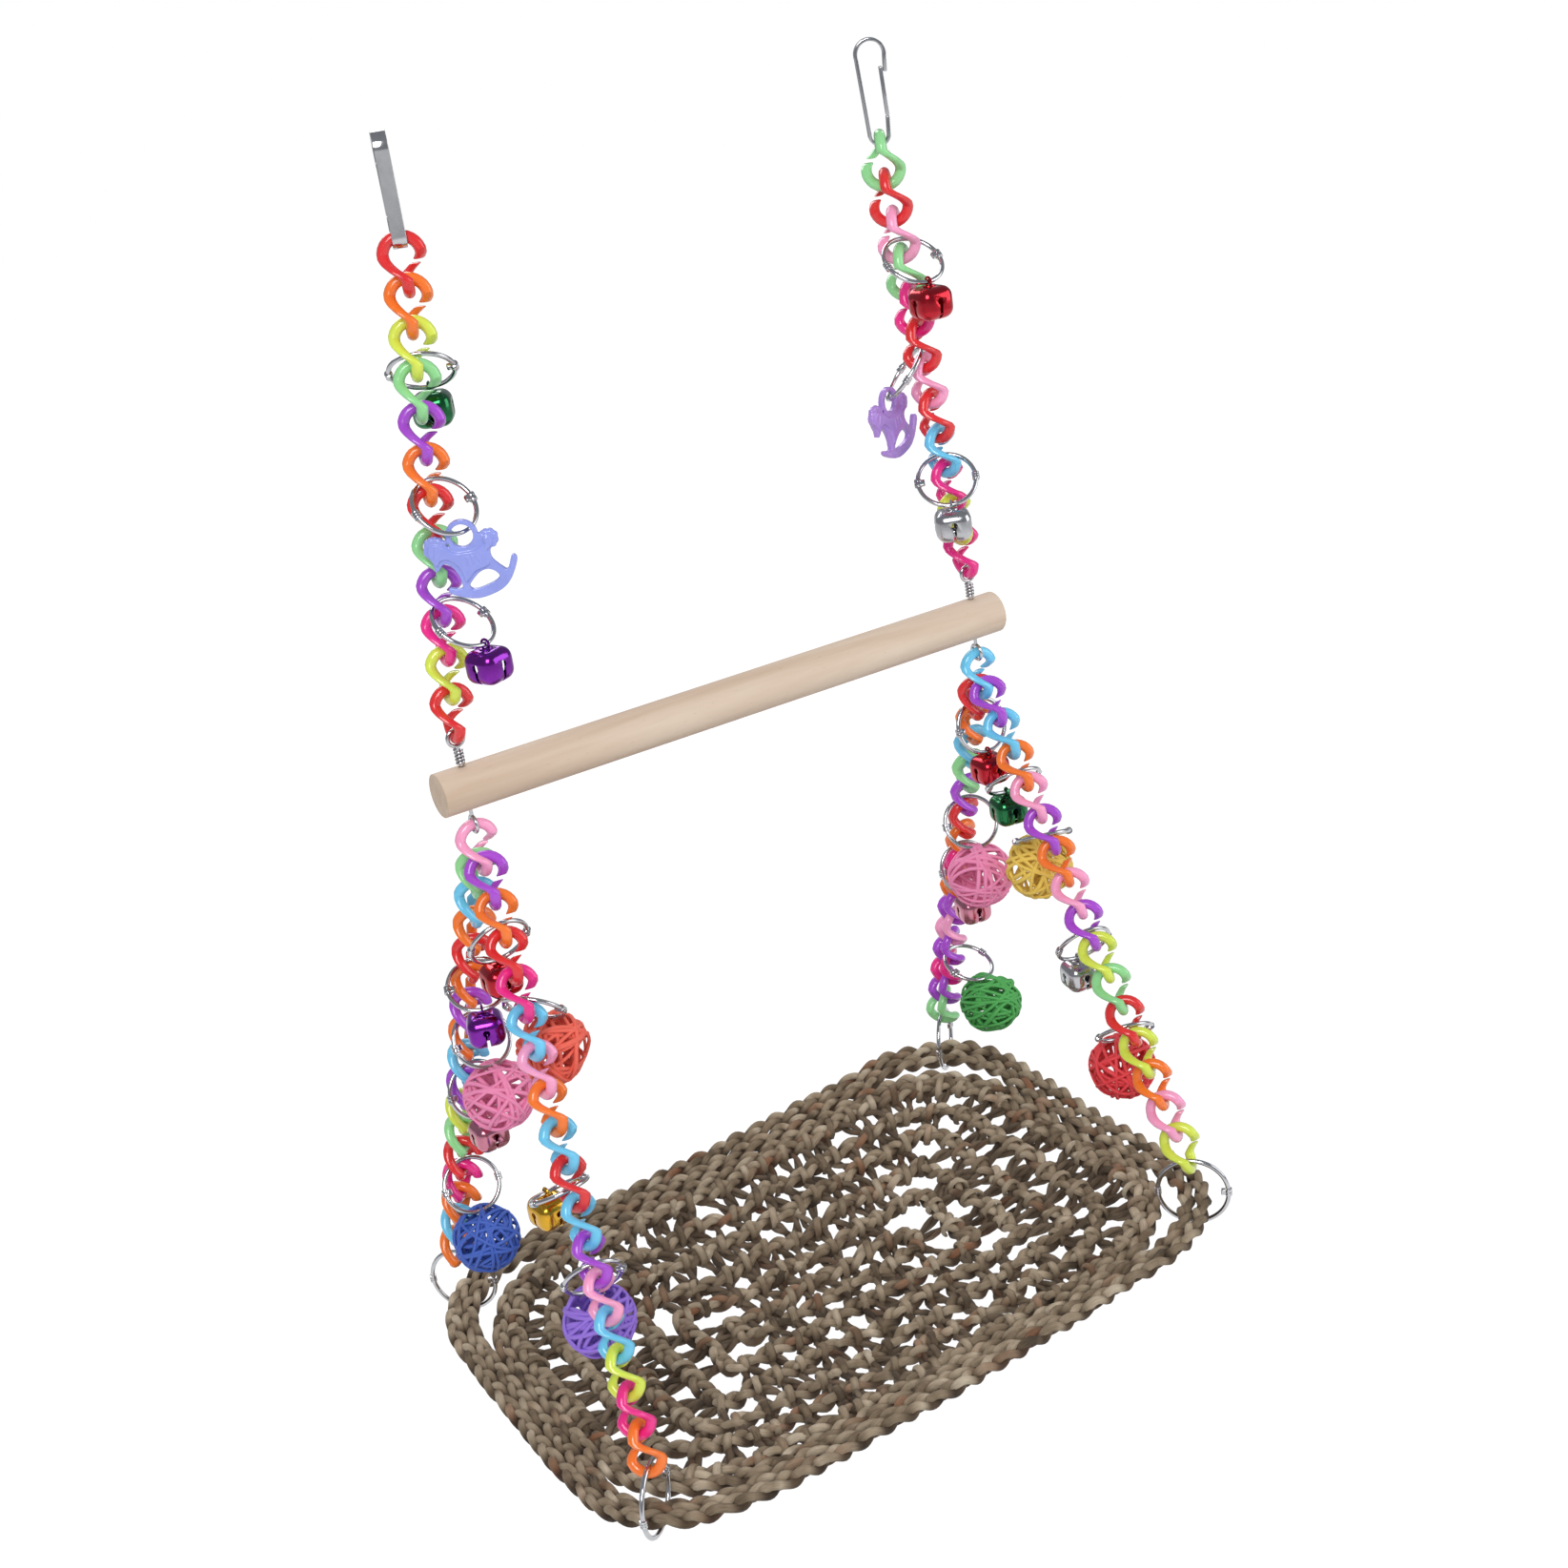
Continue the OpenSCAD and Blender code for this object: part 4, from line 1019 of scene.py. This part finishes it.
MANE = [(-0.215, -0.060, 1.25), (-0.255, -0.030, 1.35), (-0.300, -0.010, 1.35), (-0.345, -0.012, 1.3),
        (-0.388, -0.030, 1.2), (-0.405, -0.065, 1.0)]
TAIL = [(0.215, -0.035, 1.5), (0.262, -0.008, 1.55), (0.312, -0.008, 1.5), (0.350, -0.045, 1.45),
        (0.350, -0.100, 1.4), (0.310, -0.140, 1.3), (0.262, -0.070, 2.2)]
RIBS = [((0.020, -0.250), (0.030, -0.330)), ((0.075, -0.240), (0.085, -0.320)),
        ((0.130, -0.235), (0.140, -0.300)), ((-0.300, -0.120), (-0.330, -0.200))]


def model_horse(hang, name):
    """The CAD outline with a mane, a tail and ribs added, then softened as a moulding."""
    horse = node_copy(hang.name, name)
    place = (hang.place(HORSE_TURN) @ at(0, 0, -HORSE_DROP) @ spin(90, "Z") @ spin(90, "X"))
    parts = [horse]

    def blob(x, y, z, radius, flat=1.0):
        bpy.ops.mesh.primitive_ico_sphere_add(subdivisions=2, radius=radius * MM)
        knob = added("Knob")
        knob.matrix_world = metres(place @ at(x * HORSE_W, y * HORSE_W, z)) @ Matrix.Diagonal((1, 1, flat, 1))
        settle(knob)
        parts.append(knob)

    for x, y, radius in MANE:
        blob(x, y, 0, radius, 1.15)
    for x, y, radius in TAIL:
        blob(x, y, 0, radius, 1.1)
    for (x0, y0), (x1, y1) in RIBS:
        for side in (-1, 1):
            for i in range(5):
                t = i / 4
                blob(x0 + (x1 - x0) * t, y0 + (y1 - y0) * t, side * (HORSE_T / 2 - 0.25), 0.65)
    for side in (-1, 1):
        blob(-0.375, -0.085, side * 1.5, 0.55)
    horse = join(parts, name)
    finish(horse, "REMESH", mode="VOXEL", voxel_size=0.28 * MM, use_smooth_shade=True)
    finish(horse, "SMOOTH", factor=0.5, iterations=7)
    return horse


class SWING_OT_horses(bpy.types.Operator):
    """Mould the two rocking horses"""
    bl_idname = "swing.horses"
    bl_label = "Rocking horses"

    def execute(self, context):
        dyes = {"left_horse": (0.29, 0.34, 0.80), "right_horse": (0.42, 0.24, 0.68)}
        for hang in HORSES:
            horse = model_horse(hang, "Moulding_" + hang.name)
            dress(horse, moulded("Gloss plastic " + hang.name, dyes[hang.name], 0.2), hang.name, hang.name)
        return {"FINISHED"}


WRAP_R, WRAP_HALF, WRAP_TURNS, WRAP_STEPS = 1.35, 0.55, 4.5, 60


class SWING_OT_perch(bpy.types.Operator):
    """Turn the beech perch and finish its eye wires"""
    bl_idname = "swing.perch"
    bl_label = "Perch"

    def execute(self, context):
        dowel = cylinder("Dowel_perch", PERCH_D / 2, PERCH_LEN, (0, 0, PERCH_Z), 72, (0, pi / 2, 0))
        for side in (-1, 1):
            cut(dowel, cylinder("Bore", PERCH_BORE / 2, 2 * PERCH_D, (side * HOLE_X, 0, PERCH_Z)))
        soften(dowel, 0.9, 4, 60)
        smooth(dowel, 40)
        dress(dowel, beech(), "perch", "perch")
        metal = chrome("Chrome eye wire")
        wires = frame["nodes"]["perch_wires"]
        wires.data.materials.clear()
        wires.data.materials.append(metal)
        strands = Strands("wrap")
        low, high = PERCH_Z + PERCH_D / 2 + 0.8, EYE_Z - LINK_T / 2 - 2.2
        for side in (-1, 1):
            points, ups = [], []
            for i in range(WRAP_STEPS + 1):
                t = i / WRAP_STEPS
                a = 2 * pi * WRAP_TURNS * t
                points.append(Vector((side * HOLE_X + WRAP_R * cos(a), WRAP_R * sin(a),
                                      low + (high - low) * t)) * MM)
                ups.append(Vector((cos(a), sin(a), 0)))
            strands.tube(points, ups, (WRAP_HALF * MM, WRAP_HALF * MM), [PLAIN] * len(points), 8, False)
        wraps = strands.build("Wraps_eye_wires")
        dress(wraps, metal, "perch", slot="chrome_wire")
        return {"FINISHED"}


class SWING_OT_border(bpy.types.Operator):
    """Plait the three border cords of the mat"""
    bl_idname = "swing.border"
    bl_label = "Mat border"

    def execute(self, context):
        grass = seagrass("Seagrass border")
        step, width = 1.25, context.scene.swing_sizes.cord_width
        made = []
        for seed, shape in enumerate((OUTER, MIDDLE, INNER)):
            path, length = rounded_loop(shape, step)
            strands = Strands()
            plait(strands, path, length, seed + 1, width, height=CORD_D, period=33.0, sway=0.9, heave=0.8,
                  sides=8)
            made.append(strands.build("Border_cord_%d" % (seed + 1)))
        border = join(made, "Plaited_border")
        dress(border, grass, "seat", "mat_border")
        return {"FINISHED"}


# Gap between the stitches across the middle, and share of a stitch gap that each leg leans aside
CROSS_GAP, LEG_SPREAD = 7, 0.42


class SWING_OT_net(bpy.types.Operator):
    """Crochet the rounds and stitches of the mat's middle"""
    bl_idname = "swing.net"
    bl_label = "Mat rounds"

    def execute(self, context):
        grass = seagrass("Seagrass rounds")
        sizes = context.scene.swing_sizes
        rng = random.Random(7)
        step = 1.45
        shapes, offset = [], 0.5
        while NET[1] - offset > 4:
            shapes.append((NET[0] - offset, NET[1] - offset, max(NET[2] - offset, 3.0)))
            offset += sizes.round_gap
        strands = Strands()
        for k, shape in enumerate(shapes):
            path, length = rounded_loop(shape, step)
            plait(strands, path, length, 20 + k, sizes.round_width, height=6.4, period=29.0, lift=0.9,
                  sway=1.6, heave=1.3)
        rounds = strands.build("Crocheted_rounds")
        dress(rounds, grass, "seat", "mat_net")
        stitches = Strands()
        loops = [INNER] + shapes
        x, y, _ = shapes[-1]
        for i in range(int(2 * x / CROSS_GAP) - 1):
            across = [Vector((-x + CROSS_GAP * (i + 1) + rng.uniform(-2, 2), side * y))
                      for side in (-1, 1)]
            stitch(stitches, *across, 700 + i * 1.3, thick=4.4, bow=rng.uniform(-2, 2))
        for k, (outer, inner) in enumerate(zip(loops, loops[1:])):
            inner_path, inner_length = rounded_loop(inner, 1.0)
            outer_path = rounded_loop(outer, 1.0)[0]
            count = max(int(inner_length / sizes.stitch_gap), 6)
            for i in range(count):
                share = (i + 0.25 * rng.uniform(-1, 1)) / count
                foot = inner_path[int(share * len(inner_path)) % len(inner_path)]
                ahead = inner_path[(int(share * len(inner_path)) + 2) % len(inner_path)]
                knot(stitches, foot, (ahead - foot).normalized(), rng.uniform(3.6, 4.4), k * 50 + i * 2.7)
                for spread in (-LEG_SPREAD, LEG_SPREAD):
                    near = foot + Vector((rng.uniform(-1, 1), rng.uniform(-1, 1)))
                    wish = min(outer_path, key=lambda p: (p - near).length_squared)
                    at_index = outer_path.index(wish)
                    reach = int(spread * sizes.stitch_gap + rng.uniform(-1, 1))
                    head = outer_path[(at_index + reach) % len(outer_path)]
                    stitch(stitches, head, near, k * 50 + i * 1.3 + spread, rng.uniform(4.2, 5.4),
                           rng.uniform(-1.6, 1.6))
        legs = stitches.build("Crochet_stitches")
        dress(legs, grass, "seat", slot="grass_net")
        return {"FINISHED"}


CAMERA_AZ, CAMERA_EL, CAMERA_ROLL, CAMERA_FOCAL = -27.6, 21.7, -8.7, 2295.6
CAMERA_AT = (-362.3, -723.8, 56.2)
PHOTO_SIZE, SENSOR = 1645, 36
FLOOR_Z, FLOOR_GLOW, FLOOR_GLOSS = -0.80, 1.1, 0.25
# Seen by the camera, lighting matt surfaces and mirrored in glossy ones: colour and strength
SKIES = (((1, 1, 1), 1.0), ((0.95, 0.97, 1.0), 0.52), ((0.60, 0.63, 0.68), 0.42))
# Name, place in metres, side and power
LAMPS = (("Key", (-0.9, -1.3, 0.9), 0.9, 21), ("Fill", (1.3, -0.9, 0.2), 1.1, 8),
         ("Rim", (0.2, 1.4, 0.8), 1.0, 10))
LAMP_TARGET = Vector((0, 0, -0.26))


class SWING_OT_stage(bpy.types.Operator):
    """Set the camera, the lamps and the pale floor"""
    bl_idname = "swing.stage"
    bl_label = "Stage"

    def execute(self, context):
        scene = context.scene
        az, el, roll = (radians(v) for v in (CAMERA_AZ, CAMERA_EL, CAMERA_ROLL))
        back = Vector((sin(az) * cos(el), -cos(az) * cos(el), sin(el)))
        right = (-back).cross(UP).normalized()
        up = right.cross(-back)
        turned = right * cos(roll) + up * sin(roll)
        lifted = up * cos(roll) - right * sin(roll)
        data = bpy.data.cameras.new("Camera")
        camera = show(bpy.data.objects.new("Camera", data))
        camera.matrix_world = Matrix((
            (turned.x, lifted.x, back.x, CAMERA_AT[0] * MM), (turned.y, lifted.y, back.y, CAMERA_AT[1] * MM),
            (turned.z, lifted.z, back.z, CAMERA_AT[2] * MM), (0, 0, 0, 1)))
        data.sensor_fit = "HORIZONTAL"
        data.sensor_width = SENSOR
        data.lens = CAMERA_FOCAL / PHOTO_SIZE * SENSOR
        data.clip_start, data.clip_end = 0.01, 50
        scene.camera = camera
        bpy.ops.mesh.primitive_plane_add(size=12, location=(0, 0, FLOOR_Z))
        floor = added("Floor")
        paper = Shader("Pale paper")
        path = paper.node("ShaderNodeLightPath", output="Is Camera Ray")
        glossy = path.sibling("Is Glossy Ray")
        away = paper.node("ShaderNodeVectorMath", {"operation": "LENGTH"}, {0: paper.place()}, output="Value")
        far = paper.node("ShaderNodeMapRange", {"interpolation_type": "SMOOTHSTEP"},
                         {"Value": away, "From Min": 0.3, "From Max": 1.6, "To Min": 0.80, "To Max": 1.0})
        glow = paper.node("ShaderNodeEmission", None, {"Color": (1, 1, 1, 1), "Strength": FLOOR_GLOW})
        matt = paper.node("ShaderNodeBsdfPrincipled", None,
                          {"Base Color": (0.82, 0.82, 0.82, 1), "Roughness": 0.9})
        share = paper.node("ShaderNodeMath", {"operation": "MAXIMUM"},
                           {0: path * far, 1: glossy * FLOOR_GLOSS})
        mixed = paper.node("ShaderNodeMixShader", None, {0: share, 1: matt, 2: glow})
        paper.node("ShaderNodeOutputMaterial", None, {"Surface": mixed})
        floor.data.materials.append(paper.owner)
        sky = Shader("Studio", bpy.data.worlds)
        scene.world = sky.owner
        camera_ray = sky.node("ShaderNodeLightPath", output="Is Camera Ray")
        glossy_ray = camera_ray.sibling("Is Glossy Ray")
        white, soft, dim = [
            sky.node("ShaderNodeBackground", None, {"Color": (*colour, 1), "Strength": strength})
            for colour, strength in SKIES]
        lit = sky.node("ShaderNodeMixShader", None, {0: glossy_ray, 1: soft, 2: dim})
        seen = sky.node("ShaderNodeMixShader", None, {0: camera_ray, 1: lit, 2: white})
        sky.node("ShaderNodeOutputWorld", None, {0: seen})
        for name, place, size, power in LAMPS:
            lamp = bpy.data.lights.new(name, "AREA")
            lamp.shape, lamp.size, lamp.energy = "SQUARE", size, power
            obj = show(bpy.data.objects.new(name, lamp))
            obj.location = place
            aim = LAMP_TARGET - Vector(place)
            obj.rotation_euler = aim.to_track_quat("-Z", "Y").to_euler()
        scene.view_settings.view_transform = "Standard"
        return {"FINISHED"}


OPERATORS = (
    SWING_OT_stage, SWING_OT_hooks, SWING_OT_links, SWING_OT_rings, SWING_OT_bells, SWING_OT_balls,
    SWING_OT_horses, SWING_OT_perch, SWING_OT_border, SWING_OT_net)


class SWING_PT_panel(bpy.types.Panel):
    bl_label = "Bird Swing"
    bl_idname = "SWING_PT_panel"
    bl_space_type = "VIEW_3D"
    bl_region_type = "UI"
    bl_category = "Bird Swing"

    def draw(self, context):
        for group in (context.scene.swing_sizes, context.scene.swing_colours):
            for key in group.__annotations__:
                self.layout.prop(group, key)
        for operator in OPERATORS:
            self.layout.operator(operator.bl_idname)


CLASSES = (SwingColours, SwingSizes, *OPERATORS, SWING_PT_panel)


def register():
    for cls in CLASSES:
        bpy.utils.register_class(cls)
    bpy.types.Scene.swing_colours = bpy.props.PointerProperty(type=SwingColours)
    bpy.types.Scene.swing_sizes = bpy.props.PointerProperty(type=SwingSizes)


def unregister():
    del bpy.types.Scene.swing_sizes
    del bpy.types.Scene.swing_colours
    for cls in reversed(CLASSES):
        bpy.utils.unregister_class(cls)


def main():
    register()
    for operator in OPERATORS:
        getattr(bpy.ops.swing, operator.bl_idname.split(".")[1])()


if __name__ == "__main__":
    main()
